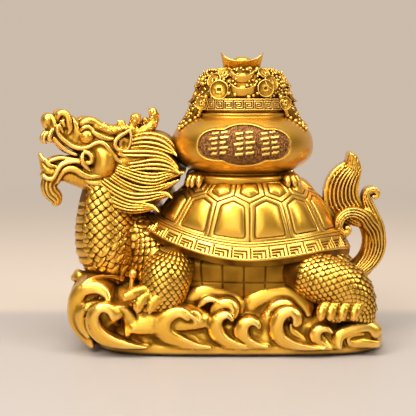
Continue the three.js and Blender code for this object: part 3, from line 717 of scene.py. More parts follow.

# Each wave from its foot to its tip: rows of x, z and half width, how far its foot and its tip
# stand back from the face, and the places of the ripples across it. The places of the rows were
# picked in an enlarged view, worked out in millimetres at a depth and rounded.
WAVES = (
    (
        (
            (-87, 4.5, 1.5), (-92, 13, 5), (-96.5, 22, 7), (-98, 31, 6.5), (-97, 40, 6), (-93, 46.5, 5.5),
            (-85.5, 48.5, 5), (-79, 47, 4), (-75, 43.5, 3), (-73.5, 39.5, 1),
        ),
        (16, 8), (-0.75, -0.35, 0.05),
    ),
    (
        ((-89, 13, 1.5), (-93, 21, 3.5), (-94, 29, 3.5), (-90.5, 34.5, 3), (-85, 37.5, 2), (-81.5, 39, 1)),
        (12, 7), (-0.4,),
    ),
    (((-48, 9, 1.5), (-50.5, 15, 7), (-51, 23, 9), (-51, 29, 7), (-49, 34, 1.5)), (5, 6), ()),
    (((-60.5, 16, 1.5), (-59.5, 20.5, 3.5), (-58.5, 26, 5), (-61.5, 32, 4.5), (-66, 36, 1.5)), (5, 3), ()),
    (
        (
            (-46.5, 8, 0.5), (-58, 9, 2.5), (-70, 11.5, 4.5), (-79, 16, 6), (-83.5, 22, 6), (-84.5, 29, 5),
            (-81.5, 34.5, 4), (-76.5, 36.5, 3.5), (-71.5, 34.5, 4), (-69, 31.5, 5),
        ),
        (1, 0), (-0.55,),
    ),
    (
        (
            (-2, 8, 1), (-12, 9, 2.5), (-23, 12, 5), (-32, 16, 7.5), (-36, 21.5, 8.5), (-34, 28, 7),
            (-28.5, 32, 5), (-23, 33, 4), (-18.5, 31, 4),
        ),
        (1, 0), (-0.7, -0.3, 0.05),
    ),
    (((-8, 9.5, 1), (-15, 12.5, 3.5), (-20, 17.5, 3), (-23, 23, 1)), (6, 6), ()),
    (
        (
            (24, 8, 1), (15.5, 9.5, 3), (7, 13, 5), (2, 19, 6), (1.5, 25, 5), (5, 29.5, 3.5), (10, 31, 2.5),
            (13, 28, 1.5),
        ),
        (1, 1), (-0.6, -0.1),
    ),
    (
        (
            (38, 8.5, 1), (30.5, 9.5, 2), (22.5, 12.5, 5), (19.5, 18.5, 6), (21.5, 24, 4.5), (26, 26.5, 3),
            (30, 25.5, 2.5), (32, 22.5, 1.5),
        ),
        (1, 1), (-0.5,),
    ),
    (((37, 8.5, 1.5), (36.5, 14, 5.5), (37, 21.5, 6), (38, 30.5, 2)), (4, 6), ()),
    (
        (
            (78, 7.5, 0.5), (66.5, 8, 2), (55.5, 10, 3.5), (47.5, 14, 5), (44.5, 19.5, 5.5), (45, 26.5, 5),
            (49, 32, 4.5), (54.5, 33.5, 3.5), (58.5, 30, 4), (58.5, 26, 3.5),
        ),
        (0, 0), (-0.6,),
    ),
    (((67, 9, 1.5), (60, 13, 4), (56, 17.5, 3), (54.5, 23, 1)), (5, 6), ()),
    (
        ((83, 7, 1), (78, 8.5, 2.5), (73, 12, 4), (72, 17.5, 4), (75.5, 21, 3), (80, 21, 2), (83, 19, 1.2)),
        (2, 1), (-0.4,),
    ),
    (((82, 9, 1), (78, 13, 1.8), (76.5, 17, 0.5)), (4, 4), ()),
    (((115.5, 9, 3), (105.5, 9.5, 3.5), (97, 10, 2.5), (94.5, 12.5, 1)), (6, 5), ()),
    (
        (
            (89, 7.5, 1.5), (87.5, 11, 4), (89, 15.5, 4.5), (95, 19, 4.2), (104, 21.5, 3.8),
            (110.5, 21.5, 4), (114.5, 18.5, 5),
        ),
        (2, 5), (-0.5, 0.0),
    ),
)
# Broader swells behind the waves, given in the same way
SWELLS = (
    (((-56, 22, 4), (-46, 25, 10), (-33, 26.5, 11), (-20, 27.5, 10), (-8, 27, 6)), (2, 2), ()),
    (
        (
            (-21, 28, 2), (-18, 38.5, 5), (-12, 43.5, 5.5), (-4.5, 45, 5.5), (3, 43.5, 5.5), (12, 41, 5.5),
            (18, 36.5, 4.5), (19.5, 31, 2),
        ),
        (15, 11), (),
    ),
    (((-10.5, 34.5, 1), (-7.5, 38, 2.5), (-3, 40.5, 2.5), (2, 40, 1.5)), (11, 9), ()),
    (((-0.5, 26, 1.5), (2, 34, 4), (7, 38, 4), (12, 38, 4), (15, 34.5, 3.5), (15, 30, 2)), (7, 4), (-0.4,)),
    (
        (
            (26, 26, 2), (27, 36.5, 6), (34.5, 42, 7), (44.5, 44, 7), (53.5, 43.5, 6.5), (61, 40.5, 6),
            (66, 35.5, 5), (67.5, 30, 2.5),
        ),
        (13, 10), (),
    ),
    (((38.5, 31, 1), (42.5, 35.5, 3), (48.5, 38.5, 2.8), (54, 38, 2), (57, 35, 1)), (8, 6), ()),
)
# Mounds of water that the waves stand on: centre and half sizes
WATER = (
    ((-47, -40, 14), (15, 14.5, 17)),
    ((-12, -40, 22), (14, 10, 14)),
    ((45, -38, 28), (22, 13, 13)),
    ((76, -38, 18), (16, 14, 12)),
    ((-86, -37, 38), (9, 9, 7)),
    ((-76, -46, 24), (9, 9.5, 11)),
    ((-27, -46, 21), (9, 9.5, 9)),
    ((103, -44, 14), (12, 11.5, 7)),
)
# The crest at the bow, as rows of x, y, z and radius
BOW_CREST = (
    (-67, -8, 14, 15), (-88, -8, 20, 14), (-96, -8, 29, 10.5), (-98.5, -8, 37, 7.5),
    (-96.5, -9, 43.5, 5.6), (-97, -10, 48.5, 4.6), (-100.5, -11, 51, 3.8), (-103, -12, 49, 2.6),
)
# Fine ridges as rows of x, z and radius
RIDGES = (
    (
        (-92.5, 50.5, 0.8), (-88, 53.5, 1.6), (-80, 53.5, 1.8), (-75, 50.5, 1.6), (-68.5, 46, 1.4),
        (-63, 44.5, 0.6),
    ),
    ((-79, 54, 0.8), (-71, 51.5, 1.6), (-66.5, 48, 1.4), (-62, 44.5, 0.6)),
    ((-15.5, 33.5, 0.9), (-10.5, 31.5, 1.5), (-9, 28, 1.4), (-10, 25, 0.6)),
    ((-17.5, 31.5, 0.9), (-14, 29.5, 1.4), (-12, 26.5, 1.4), (-13, 24, 0.6)),
    ((96, 9, 0.8), (95, 13, 1.2), (99, 16, 1.2), (106, 16.5, 0.8)),
)
# Drops of foam, as x, z and radius
FOAM = ((-89.5, 34.5, 1.6), (-80, 40.5, 2.2), (-84.5, 39.5, 1.3))


RIPPLE_DEEP, RIPPLE_WIDE = 0.13, 0.09  # shares of a wave's half width
HOLLOW_ASIDE, HOLLOW_NARROWER = 1.7, 0.85  # shares of the half width of the wave beside a hollow
HOLLOW_START, HOLLOW_STOP = 0.3, 0.86  # shares of the way along that wave


def wave_shape(ripples):
    """How far behind its face a wave lies across its width. It slopes to its back and drops to its hollow."""

    def shape(s, r):
        outer, inner = np.clip((0.5 - s) / 1.5, 0, 1), np.clip((s - 0.5) / 0.5, 0, 1)
        depth = 1.1 * (1 - np.sqrt(1 - outer**2.2)) + 1.5 * (1 - np.sqrt(1 - inner**2.4))
        for place in ripples:
            depth = depth + RIPPLE_DEEP * np.exp(-(((s - place) / RIPPLE_WIDE) ** 2))
        return depth * r

    return shape


def hollow_of(rows, back):
    """The hollow beside a wave: rows of x, y, z and half width."""
    line = spline(with_depth(rows, back), 1.0)
    run = np.gradient(line[:, [0, 2]], axis=0)
    run /= np.maximum(np.linalg.norm(run, axis=1, keepdims=True), 1e-6)
    line[:, 0] += run[:, 1] * HOLLOW_ASIDE * line[:, 3]
    line[:, 2] -= run[:, 0] * HOLLOW_ASIDE * line[:, 3]
    line[:, 3] *= HOLLOW_NARROWER
    return line[int(HOLLOW_START * len(line)) : int(HOLLOW_STOP * len(line))]


def with_depth(rows, back):
    """Rows of x, z and half width, given the y of their face."""
    shares = np.linspace(*back, len(rows))
    return [(x, b - WAVE_FACE, z, r) for (x, z, r), b in zip(rows, shares)]


def wave_block(clay):
    """The body of the base: an oval with square ends, drawn in towards its top and its foot."""
    x, y, z = clay.grid()
    inset = np.interp(z, *BASE_LEVELS)
    half_x, half_y = BASE_HALF[0] - inset, BASE_HALF[1] - inset
    u, v = (x - BASE_CENTRE_X) / half_x, y / half_y
    shape = (u**4 + v**4) ** 0.25
    steep = np.sqrt((u**3 / half_x) ** 2 + (v**3 / half_y) ** 2) / np.maximum(shape, 1e-3) ** 3
    block = np.maximum((shape - 1) / np.maximum(steep, 2e-3), z - BASE_LEVELS[0][-1])
    clay.field = np.clip(block, -FAR, FAR).astype(np.float32)


def wave_base_clay(cell):
    """The base with its breaking waves, the same on the far side."""
    clay = Clay((-114, -66, -3), (131, 66, 62), cell)
    wave_block(clay)
    clay.ball((-65, 0, 20), (30, 46, 27), blend=5)
    for centre, size in WATER:
        clay.ball(centre, size, blend=4)
    for rows, back, _ in (*SWELLS, *WAVES):
        end = 2 if rows[0][0] < BOW_X else -20
        clay.band(with_depth(rows, back), wave_shape(()), blend=2.5, back=end)
    for rows, back, _ in (*SWELLS, *WAVES):
        if len(rows) > 5:
            clay.groove(hollow_of(rows, back), proud=0.5, blend=1.5)
    for rows, back, ripples in (*SWELLS, *WAVES):
        clay.band(with_depth(rows, back), wave_shape(ripples), blend=0.5, back=-35)
    clay.mirror()
    clay.strand(BOW_CREST, blend=4, flat=1.8)
    for rows in RIDGES:
        clay.ridge([(x, 0, z, r) for x, z, r in rows], proud=0.1, blend=0.9)
    for x, z, r in FOAM:
        spot_on = clay.draped([(x, 0, z, r), (x + 0.2, 0, z, r)], 0.3)[0]
        clay.ball(spot_on[:3], (r, r, r), blend=0.6)
    _, y, z = clay.grid()
    clay.trim(np.maximum(-z, np.abs(y) - BASE_REACH))
    return clay


class TURTLE_OT_wave_base(bpy.types.Operator):
    """Carves the base of breaking waves"""

    bl_idname = "turtle.wave_base"
    bl_label = "Wave base"

    def execute(self, context):
        cell = context.scene.carving_sizes.wave_cell / MM
        points, faces, marks = wave_base_clay(cell).surface(reach=2.4)
        keep(lay_mesh("wave_base", points, faces, marks), TURTLE, antique_gold())
        return {"FINISHED"}


# Body, neck and legs


SHELL_X = 25.5
SHELL_LONG = 69.5
SHELL_WIDE = 54.0


def along(share):
    return SHELL_X + SHELL_LONG * share


def aside(share):
    return SHELL_WIDE * share


def level(share):
    return 34.0 + 30.0 * share


def spot(a, b, c, radius):
    return along(a), aside(b), level(c), radius


# Rings of the body: height, and its half sizes as shares of the shell's
BODY_RINGS = (
    (level(-0.15), 0.86, 0.70), (level(0.35), 0.94, 0.84),
    (level(1), 0.97, 0.90), (level(1.35), 0.90, 0.80),
)
BELLY_SEAMS_Z = (52.0,)
BELLY_PITCH = 15.4
BELLY_SEAM = 0.42  # half width of a seam
# Painted shadow: the whole belly is darkened by this, as if shaded by the shell's rim above.
BELLY_PAINTED_SHADOW = 0.28


def seam_stops(low, high, seams, coarse):
    """Places between low and high, close together across each seam and coarse between them."""
    stops = set(np.linspace(low, high, max(2, int((high - low) / coarse))).round(3))
    for seam in seams:
        stops -= {s for s in stops if abs(s - seam) < 1.2}
        stops |= {round(seam + d, 3) for d in (-1.1, -0.6, -0.3, 0, 0.3, 0.6, 1.1)}
    return np.array(sorted(stops))


def body_form():
    """The body under the shell, with the seams of its belly plates."""
    turns = np.linspace(0, TAU, 2000)
    share = lambda s: np.sign(s) * np.abs(s) ** 0.75
    half_x, half_y = SHELL_LONG * 0.97, SHELL_WIDE * 0.9
    outline = np.stack([half_x * share(np.cos(turns)), half_y * share(np.sin(turns))], axis=1)
    way = np.concatenate([[0], np.cumsum(np.linalg.norm(np.diff(outline, axis=0), axis=1))])
    seams = (np.arange(int(way[-1] / BELLY_PITCH)) + 0.5) * way[-1] / int(way[-1] / BELLY_PITCH)
    columns = seam_stops(0, way[-1], seams, 2.4)[:-1]
    rows = seam_stops(BODY_RINGS[0][0], BODY_RINGS[-1][0], BELLY_SEAMS_Z, 2.0)
    turn = np.interp(columns, way, turns)[None, :]
    levels, long, wide = np.array(BODY_RINGS).T
    a, b = (np.interp(rows, levels, part)[:, None] for part in (long, wide))
    away = np.abs(columns[:, None] - seams).min(1)[None, :]
    above = np.abs(rows[:, None] - np.array(BELLY_SEAMS_Z)).min(1)[:, None]
    depth = 0.9 * np.maximum(np.exp(-((away / BELLY_SEAM) ** 2)), np.exp(-((above / BELLY_SEAM) ** 2)))
    x = along(0) + (SHELL_LONG * a - depth) * share(np.cos(turn))
    y = (SHELL_WIDE * b - depth) * share(np.sin(turn))
    z = np.broadcast_to(rows[:, None], x.shape)
    points, faces = capped(np.stack([x, y, z], axis=-1))
    # A painted shadow of the rim darkens the whole belly, and the seams darken further as dark joints.
    relief = np.concatenate([(-BELLY_PAINTED_SHADOW - 0.4 * depth).ravel(), [0, 0]])
    return points, faces, {"relief": relief}


NECK_LINE = (
    (-68, -4, 49.3, 13.6), (-78, -4, 65.1, 20.7), (-80, -4, 83.9, 22), (-79, -4, 102.6, 20.6),
    (-76, -4, 121.3, 17.6),
)
FRONT_LEG = (
    spot(-0.7, -0.6, 1.05, 10),
    spot(-0.82, -0.82, 0.88, 16.2),
    spot(-0.86, -0.84, 0.6, 16.5),
    spot(-0.87, -0.76, 0.1, 13.5),
    spot(-0.87, -0.72, -0.15, 12),
)
FRONT_SCALE_LINE = ((-29, -44, 78, 17), (-33, -44, 60, 17), (-35, -43, 45, 15), (-35, -39, 29, 12))
SHOULDER_LINE = ((-66, 0, 92, 12), (-52, 0, 80, 17), (-38, 0, 69, 19))
FRONT_WRIST = ((-35, -46, 44, 12), (-45, -51, 43, 9.5), (-50, -53, 42, 7.5))
REAR_LEG = (
    spot(0.5, -0.76, 0.85, 13), spot(0.76, -0.84, 0.68, 16.8), spot(1.02, -0.86, 0.45, 14.8),
    spot(1.14, -0.86, 0.05, 10.5), spot(1.14, -0.86, -0.15, 10),
)
REAR_FOOT = ((103, -46, 34, 9.3), (94, -49.5, 33, 8.5), (86, -52, 33.5, 7))


SCALE_LONGER = 1.75  # a scale's length as a share of the space between rows
# Painted shade: the skin under the scales is darkened all over, for the shade in the gaps between them.
UNDER_SCALES_PAINTED_SHADE = -0.75
PAWS_DARKER = 0.12
PATH_STEP = 0.5  # steps along a limb's line
FEELER_LONG, FEELER_STEP = 40, 0.4  # how far and how finely the skin is looked for from that line
BREAST_EDGE = 0.62  # where the breast plates' edge runs, as a share of the neck's radius
BREAST_IN, BREAST_THICK = 3.2, 4.4
NECK_TOP_Z = 121
FAR_HALF_Y = -24  # scales are laid on the near side of this and mirrored


def limbs_clay(cell):
    """Neck, chest and legs, plain under their scales."""
    clay = Clay((-106, -66, 24), (120, 66, 126), cell)
    clay.ball((-41, 0, 64), (24, 23, 22), blend=4)
    clay.strand(SHOULDER_LINE, blend=4)
    for line in (FRONT_LEG, FRONT_WRIST, REAR_LEG, REAR_FOOT):
        clay.strand(line, blend=3)
    clay.mirror()
    clay.strand(NECK_LINE, blend=3)
    return clay


def scale_template():
    """One scale, a unit wide and long, its root at the origin and its tip towards -Y."""
    outline = [
        (-0.5, 0.25), (-0.5, -0.4), (-0.45, -0.66), (-0.29, -0.89), (0, -1.0), (0.29, -0.89), (0.45, -0.66),
        (0.5, -0.4), (0.5, 0.25),
    ]
    lift = lambda y: max(0.0, 0.25 - y) / 1.25
    rows = []
    for share, height, sink in ((1.0, 0.0, 0.5), (1.0, 0.72, 0.0), (0.74, 1.0, 0.0)):
        rows.append([(x * share, (y + 0.3) * share - 0.3, height * lift(y) - sink) for x, y in outline])
    points = np.array(rows, float).reshape(-1, 3)
    points = np.vstack([points, [(0, -0.3, 0.72)], [(0, -0.3, -0.5)]])
    n = len(outline)
    over, under = fan(np.arange(2 * n, 3 * n)[::-1], 3 * n), fan(np.arange(n), 3 * n + 1)
    faces = [grid_quads(3, n), over[:, ::-1], under[:, ::-1]]
    # Painted light: the side rings are darkened as shade in the gap under each scale, with patina there too,
    # the tip is lit as a painted highlight with wear, and the root is darkened as a painted shadow of the
    # scale above.
    tip_highlight_root_shadow = [0.6 if y < -0.4 else -0.45 for _, y in outline]
    relief = np.concatenate([np.full(n, -1.0), np.full(n, -1.0), tip_highlight_root_shadow, [0.1, -1]])
    return lay_mesh("scale", points / MM, faces, {"relief": relief})


def scale_places(clay, line, around, step, skip, phase=0.0):
    """Places of scales in staggered rows along a limb, with their frames and sizes."""
    path = spline(line, PATH_STEP)
    way = np.arange(len(path)) * PATH_STEP
    places, outs, downs, widths = [], [], [], []
    for row, s in enumerate(np.arange(step, way[-1], step)):
        k = min(len(path) - 2, int(s / PATH_STEP))
        centre, run = path[k, :3], path[k + 1, :3] - path[max(k - 1, 0), :3]
        run = run / np.linalg.norm(run)
        side = np.cross(run, (0, 1, 0))
        side = side / np.linalg.norm(side)
        other = np.cross(run, side)
        turn = TAU * (np.arange(around) + 0.5 * (row % 2) + phase) / around
        way_out = np.cos(turn)[:, None] * side + np.sin(turn)[:, None] * other
        t = np.arange(0, FEELER_LONG, FEELER_STEP)
        spots = centre + way_out[:, None, :] * t[None, :, None]
        values = clay.at(spots.reshape(-1, 3)).reshape(around, -1)
        hit = np.argmax(values > 0, axis=1)
        found = spots[np.arange(around), hit]
        good = (hit > 2) & (values > 0).any(axis=1)
        out = clay.facing(found)
        good &= (out * way_out).sum(-1) > 0.35
        good &= ~skip(found)
        places.append(found[good])
        outs.append(out[good])
        downs.append(np.broadcast_to(-run, out[good].shape))
        reach = np.linalg.norm(found - centre, axis=1)[good]
        widths.append(TAU * reach / around)
    return np.vstack(places), np.vstack(outs), np.vstack(downs), np.concatenate(widths)


class TURTLE_OT_body(bpy.types.Operator):
    """Models the body under the shell, with its belly plates"""

    bl_idname = "turtle.body"
    bl_label = "Body"

    def execute(self, context):
        keep(lay_mesh("belly", *body_form()), TURTLE, antique_gold())
        return {"FINISHED"}


class TURTLE_OT_limbs(bpy.types.Operator):
    """Models the neck and the legs and lays their scales"""

    bl_idname = "turtle.limbs"
    bl_label = "Neck, legs and scales"

    def execute(self, context):
        sizes = context.scene.scale_sizes
        clay = limbs_clay(context.scene.carving_sizes.limb_cell / MM)
        field = clay.field.copy()
        points, faces, _ = clay.surface(reach=3)
        # The skin under the scales is darkened all over as painted shade.
        dark = {"relief": np.full(len(points), UNDER_SCALES_PAINTED_SHADE)}
        keep(lay_mesh("neck_and_legs", points, faces, dark), TURTLE, antique_gold())
        clay.field = field
        levels, edge = np.array([(z, x - BREAST_EDGE * r) for x, _, z, r in NECK_LINE]).T
        on_breast = lambda p: (p[:, 0] < np.interp(p[:, 2], levels, edge)) | (p[:, 2] > NECK_TOP_Z)
        neck = scale_places(clay, NECK_LINE[::-1], sizes.neck_around, sizes.neck_step / MM, on_breast)
        self.lay("neck_scales", neck, sizes.neck_step / MM * SCALE_LONGER, sizes.lift)
        hidden = lambda p: (np.abs(p[:, 1]) < 8) | (p[:, 0] > -36)
        shoulders = scale_places(clay, SHOULDER_LINE, sizes.neck_around, sizes.leg_step / MM, hidden)
        self.lay("shoulder_scales", shoulders, sizes.leg_step / MM * SCALE_LONGER, sizes.lift)
        cell = context.scene.carving_sizes.paw_cell / MM
        keep(lay_mesh("paws", *paws_form(cell)), TURTLE, antique_gold())
        keep(lay_mesh("breast_plates", *breast_form(cell, sizes.breast_plates)), TURTLE, antique_gold())
        behind = lambda p: p[:, 1] > FAR_HALF_Y
        for name, line in (("front_leg_scales", FRONT_SCALE_LINE), ("rear_leg_scales", REAR_LEG)):
            laid = scale_places(clay, line, sizes.leg_around, sizes.leg_step / MM, behind)
            far = [part * (1, -1, 1) for part in laid[:3]] + [laid[3]]
            laid = [np.concatenate(pair) for pair in zip(laid, far)]
            self.lay(name, laid, sizes.leg_step / MM * SCALE_LONGER, sizes.lift)
        return {"FINISHED"}

    def lay(self, name, laid, long, lift):
        places, outs, downs, widths = laid
        sizes = np.column_stack([widths * 0.95, np.full(len(widths), long), widths * lift])
        frames = frames_on(outs, downs)
        set_on_points(name, scale_template(), places, frames, sizes * MM, antique_gold(), TURTLE)


# Toes of the near side as rows of x, y, z and radius, from the root to the tip of the claw
FRONT_TOES = (
    (
        (-40, -51, 47, 5.5), (-50, -56, 48, 4), (-56, -58.5, 46.5, 3.8), (-60.5, -60, 45, 2.5),
        (-61.5, -61, 42.5, 1),
    ),
    (
        (-38, -52, 45, 5.5), (-46, -57, 44.5, 4), (-51, -59, 40.5, 4), (-52.5, -60.5, 36.5, 2.4),
        (-53, -61, 34, 1),
    ),
    (
        (-34, -53, 44, 5.5), (-39, -58, 43, 4), (-42.5, -59, 40, 3.8), (-44, -60.5, 36, 2.4),
        (-44.5, -61, 33.5, 1),
    ),
)
REAR_TOES = tuple(
    (
        (x + 8, -50, 38, 5), (x + 3, -56, 38.5, 3.7), (x, -59, 34.5, 3.5), (x - 1, -60.5, 31, 2.4),
        (x - 1.5, -61, 28.5, 1),
    )
    for x in (76, 82.5, 90.5, 99)
)
SPUR = (
    (-57, -50, 44, 3.4), (-57.5, -50, 50, 2.0), (-57, -50, 56, 1.8), (-56.5, -50, 59, 3.0),
    (-56.5, -50, 60.5, 2.0),
)


def paws_form(cell):
    """The four paws with their knuckles and claws."""
    made = []
    blocks = ((-72, -68, 28), (-24, -38, 66)), ((68, -66, 22), (116, -38, 52))
    for toes, (low, high) in zip((FRONT_TOES, REAR_TOES), blocks):
        clay = Clay(low, high, cell)
        for toe in toes:
            clay.strand(toe[:4], blend=0.4, rings=2.6, ring_depth=0.6)
            clay.strand(toe[3:], blend=0.2)
        if toes is FRONT_TOES:
            clay.strand(SPUR, blend=0.8)
        points, faces, marks = clay.surface()
        points, faces = mirrored(points, faces)
        made.append((points, faces, {"relief": np.tile(marks["relief"], 2) - PAWS_DARKER}))
    return gathered(made)


def breast_form(cell, count):
    """The strip of lapping plates down the front of the neck."""
    clay = Clay((-108, -30, 44), (-74, 22, 128), cell)
    line = spline(NECK_LINE, PATH_STEP)
    for k in range(count):
        x, y, z, r = line[int((k + 0.5) * len(line) / count)]
        turns = np.linspace(-0.95, 0.95, 9)
        out, thick = r - BREAST_IN, np.full(len(turns), BREAST_THICK)
        lobe = [x - out * np.cos(turns), y + out * np.sin(turns), z - 4 * np.cos(turns), thick]
        clay.strand(np.column_stack(lobe), blend=0.2)
    edge = [(x - BREAST_EDGE * r, y - 0.8 * r, z, 0.8) for x, y, z, r in NECK_LINE]
    clay.strand(edge, blend=0.3)
    clay.strand([(x, 2 * NECK_LINE[0][1] - y, z, r) for x, y, z, r in edge], blend=0.3)
    return clay.surface()


# Shell

RIM_TOP = 81.0
SHELL_RISE = 45.0
PLATES = 14
WAIST, SHOULDER, CROWN = 0.62, 0.73, 0.94  # shares of the rise where the plates' corners lie


def rim_lift(x):
    share = np.clip((x - SHELL_X) / 77.5, -1, 1)
    size = np.abs(share)
    return np.where(share < 0, 18 * size**1.8, 9 * (size**1.5 - size**6))


def shell_point(turn, rise, proud):
    end = (1 - rise**0.6) ** 0.2
    side = (1 - rise**2) ** 0.19
    x = SHELL_X + (SHELL_LONG * end + proud) * np.cos(turn)
    y = (SHELL_WIDE * side + proud) * np.sin(turn)
    return np.stack([x, y, RIM_TOP + rim_lift(x) * (1 - rise) + SHELL_RISE * rise + proud * rise], axis=-1)


def rim_point(turn, out, drop):
    x = SHELL_X + (SHELL_LONG + out) * np.cos(turn)
    y = (SHELL_WIDE + out) * np.sin(turn)
    return np.stack([x, y, RIM_TOP + rim_lift(x) - drop], axis=-1)


def offset_polygon(corners, inset):
    """Corners of a convex polygon, drawn in by an inset from all its sides."""
    before = np.roll(corners, 1, axis=0)
    edge_in, edge_out = corners - before, np.roll(corners, -1, axis=0) - corners
    moved = []
    for corner, a, b in zip(corners, edge_in, edge_out):
        n, m = (np.array([-e[1], e[0]]) / np.linalg.norm(e) for e in (a, b))
        moved.append(corner + inset * np.linalg.solve(np.array([n, m]), np.ones(2)))
    return np.array(moved)


def plate(corners, cuts, sizes):
    """Rings of points for one plate of the shell, from its joint to its middle, and their relief."""
    corners = np.array(corners, float)
    turn0 = corners.mean(0)[0]
    table = np.linspace(0, 0.985, 400)
    line = shell_point(turn0, table, 0.0)
    height = np.concatenate([[0], np.cumsum(np.linalg.norm(np.diff(line, axis=0), axis=1))])
    ahead = shell_point(turn0 + 1e-3, table, 0.0)
    stretch = np.linalg.norm(ahead - line, axis=1) / 1e-3

    def chart(spots):
        aside_of = (spots[:, 0] - turn0) * np.interp(spots[:, 1], table, stretch)
        return np.column_stack([aside_of, np.interp(spots[:, 1], table, height)])

    def place(flat, proud):
        rise = np.interp(flat[:, 1], height, table)
        return shell_point(turn0 + flat[:, 0] / np.interp(rise, table, stretch), rise, proud)

    def divided(polygon):
        ends = zip(polygon, np.roll(polygon, -1, axis=0), cuts)
        return np.vstack([np.linspace(a, b, n, endpoint=False) for a, b, n in ends])

    flat = chart(corners)
    seam, band, pillow = (size / MM for size in (sizes.seam, sizes.band, sizes.pillow))
    edge = divided(corners)
    rings = [shell_point(edge[:, 0], edge[:, 1], -seam)]
    marks = [-1.0]
    profile = (
        (0.22, -seam, -1), (0.5, -0.1, 0.3), (0.8, 0.0, 0.5), (band - 0.3, 0.0, 0.4), (band, -0.25, -0.7),
        (band + 0.25, -0.5, -1), (band + 0.55, -0.5, -0.9), (band + 0.85, 0.05, 0.3), (band + 1.3, 0.3, 0.6),
    )
    for inset, proud, mark in profile:
        ring = divided(offset_polygon(flat, inset))
        if inset > 2:
            for _ in range(1 if inset < band + 1 else 2):
                ring = 0.5 * ring + 0.25 * (np.roll(ring, 1, axis=0) + np.roll(ring, -1, axis=0))
        rings.append(place(ring, proud))
        marks.append(mark)
    middle = ring.mean(0)
    for share in (0.86, 0.7, 0.52, 0.34, 0.17):
        proud = 0.3 + pillow * (1 - share**3)
        rings.append(place(middle + (ring - middle) * share, proud))
        marks.append(0.25 * share)
    centre = place(middle[None], 0.3 + pillow)
    return np.array(rings), centre, np.array(marks)


def shell_dome(sizes):
    """The shell's two rows of plates in one closed skin."""
    turn = lambda k: TAU * (k + 1) / (2 * PLATES)
    cut = 8
    points, faces, marks, first = [], [], [], 0
    for k in range(0, 2 * PLATES, 2):
        a, b, c, d = (turn(k + i) for i in range(4))
        lower = [[a, 0], [c, 0], [c, WAIST], [b, SHOULDER], [a, WAIST]]
        upper = [[b, SHOULDER], [c, WAIST], [d, SHOULDER], [d, CROWN], [b, CROWN]]
        for corners, longest in ((lower, 0), (upper, 3)):
            cuts = [2 * cut if side == longest else cut for side in range(5)]
            rings, centre, relief = plate(corners, cuts, sizes)
            count, wide = rings.shape[:2]
            points += [rings.reshape(-1, 3), centre]
            marks += [np.repeat(relief, wide), [0.1]]
            faces.append(grid_quads(count, wide) + first)
            tip = fan(np.arange(wide) + (count - 1) * wide, count * wide) + first
            faces.append(np.column_stack([tip, tip[:, 2]]))
            first += count * wide + 1
    columns = TAU * np.arange(2 * PLATES * cut) / (2 * PLATES * cut) + turn(1)
    for rise, proud in ((CROWN, -sizes.seam / MM), (0.965, 0.0), (0.985, 0.2)):
        points.append(shell_point(columns, np.full(len(columns), rise), proud))
        marks.append(np.full(len(columns), -0.3))
    wide = len(columns)
    faces.append(grid_quads(3, wide) + first)
    points.append([(SHELL_X, 0, RIM_TOP + SHELL_RISE)])
    cap = fan(np.arange(wide) + 2 * wide, 3 * wide) + first
    faces.append(np.column_stack([cap, cap[:, 2]]))
    first += 3 * wide + 1
    columns = TAU * np.arange(2 * PLATES * cut) / (2 * PLATES * cut) + turn(0)
    for drop in (0.0, 6.0):
        ring = shell_point(columns, np.zeros(wide), -sizes.seam / MM)
        ring[:, 2] -= drop
        points.append(ring)
    marks += [[0.0], np.full(2 * wide, -1.0), [0.0]]
    faces.append(grid_quads(2, wide)[:, ::-1] + first)
    points.append([(SHELL_X, 0, RIM_TOP - 2)])
    under = fan(np.arange(wide)[::-1] + wide, 2 * wide) + first
    faces.append(np.column_stack([under, under[:, 2]]))
    points, marks = np.vstack(points), np.concatenate(marks)
    spots, quads, kept = welded(points, [np.vstack(faces)])
    quads = quads[0]
    flat = quads[:, 2] == quads[:, 3]
    return spots, [quads[~flat], quads[flat][:, :3]], {"relief": marks[kept]}


RIM_KEY = """
#.............
#.............
#.##########..
#..........#..
#.#######..#..
#.......#..#..
#.####..#..#..
#....#..#..#..
"""


def lattice(pattern, cells, bevel=0.14):
    """Places round and across a band for a pattern of letters repeated in cells, and which are marked."""
    rows = pattern.split()
    wide, tall = len(rows[0]), len(rows)
    inside = np.array([bevel, 1 - bevel])
    across = ((np.arange(wide * cells)[:, None] + inside) / (wide * cells)).ravel()
    down = ((np.arange(tall)[:, None] + inside) / tall).ravel()
    marked = np.array([[mark == "#" for mark in row] for row in rows])
    marked = np.repeat(np.repeat(np.tile(marked, (1, cells)), 2, axis=0), 2, axis=1)
    return across, down, marked


def even_turns(shares, half_x, half_y):
    """Turns that part an oval's edge into the given shares of its length."""
    turns = np.linspace(0, TAU, 4000)
    edge = np.stack([half_x * np.cos(turns), half_y * np.sin(turns)], axis=1)
    way = np.concatenate([[0], np.cumsum(np.linalg.norm(np.diff(edge, axis=0), axis=1))])
    return np.interp(shares, way / way[-1], turns)


KEY_LINE = (74, 58.5)  # half sizes of the oval that the keys are spaced along
FLANGE_START = (1.2, -0.5)  # out and down from the foot of the dome
FLANGE_RUN = (6.8, 10.5)
FLANGE_LONG = 12.51
FLANGE_NORMAL = (0.839, 0.544)
# Out, down and relief of the rim's rows, above the flange and below it
RIM_INNER = (
    (-6, 8, -1), (-6, 2.5, -1), (-0.9, 0.6, -1), (-0.4, 0.0, -0.7),
    (-0.1, -1.0, 0.4), (0.5, -1.3, 0.5), (1.1, -0.9, 0.5),
)
# The lip's face and underside are marked dark as painted shade, since they face down.
RIM_LIP = (
    (7.9, 10.6, 0.3), (7.4, 11.2, -0.5), (7.2, 14.2, -0.4),
    (6.6, 15.3, -0.3), (4, 15.6, -0.5), (-6, 15.3, -1),
)
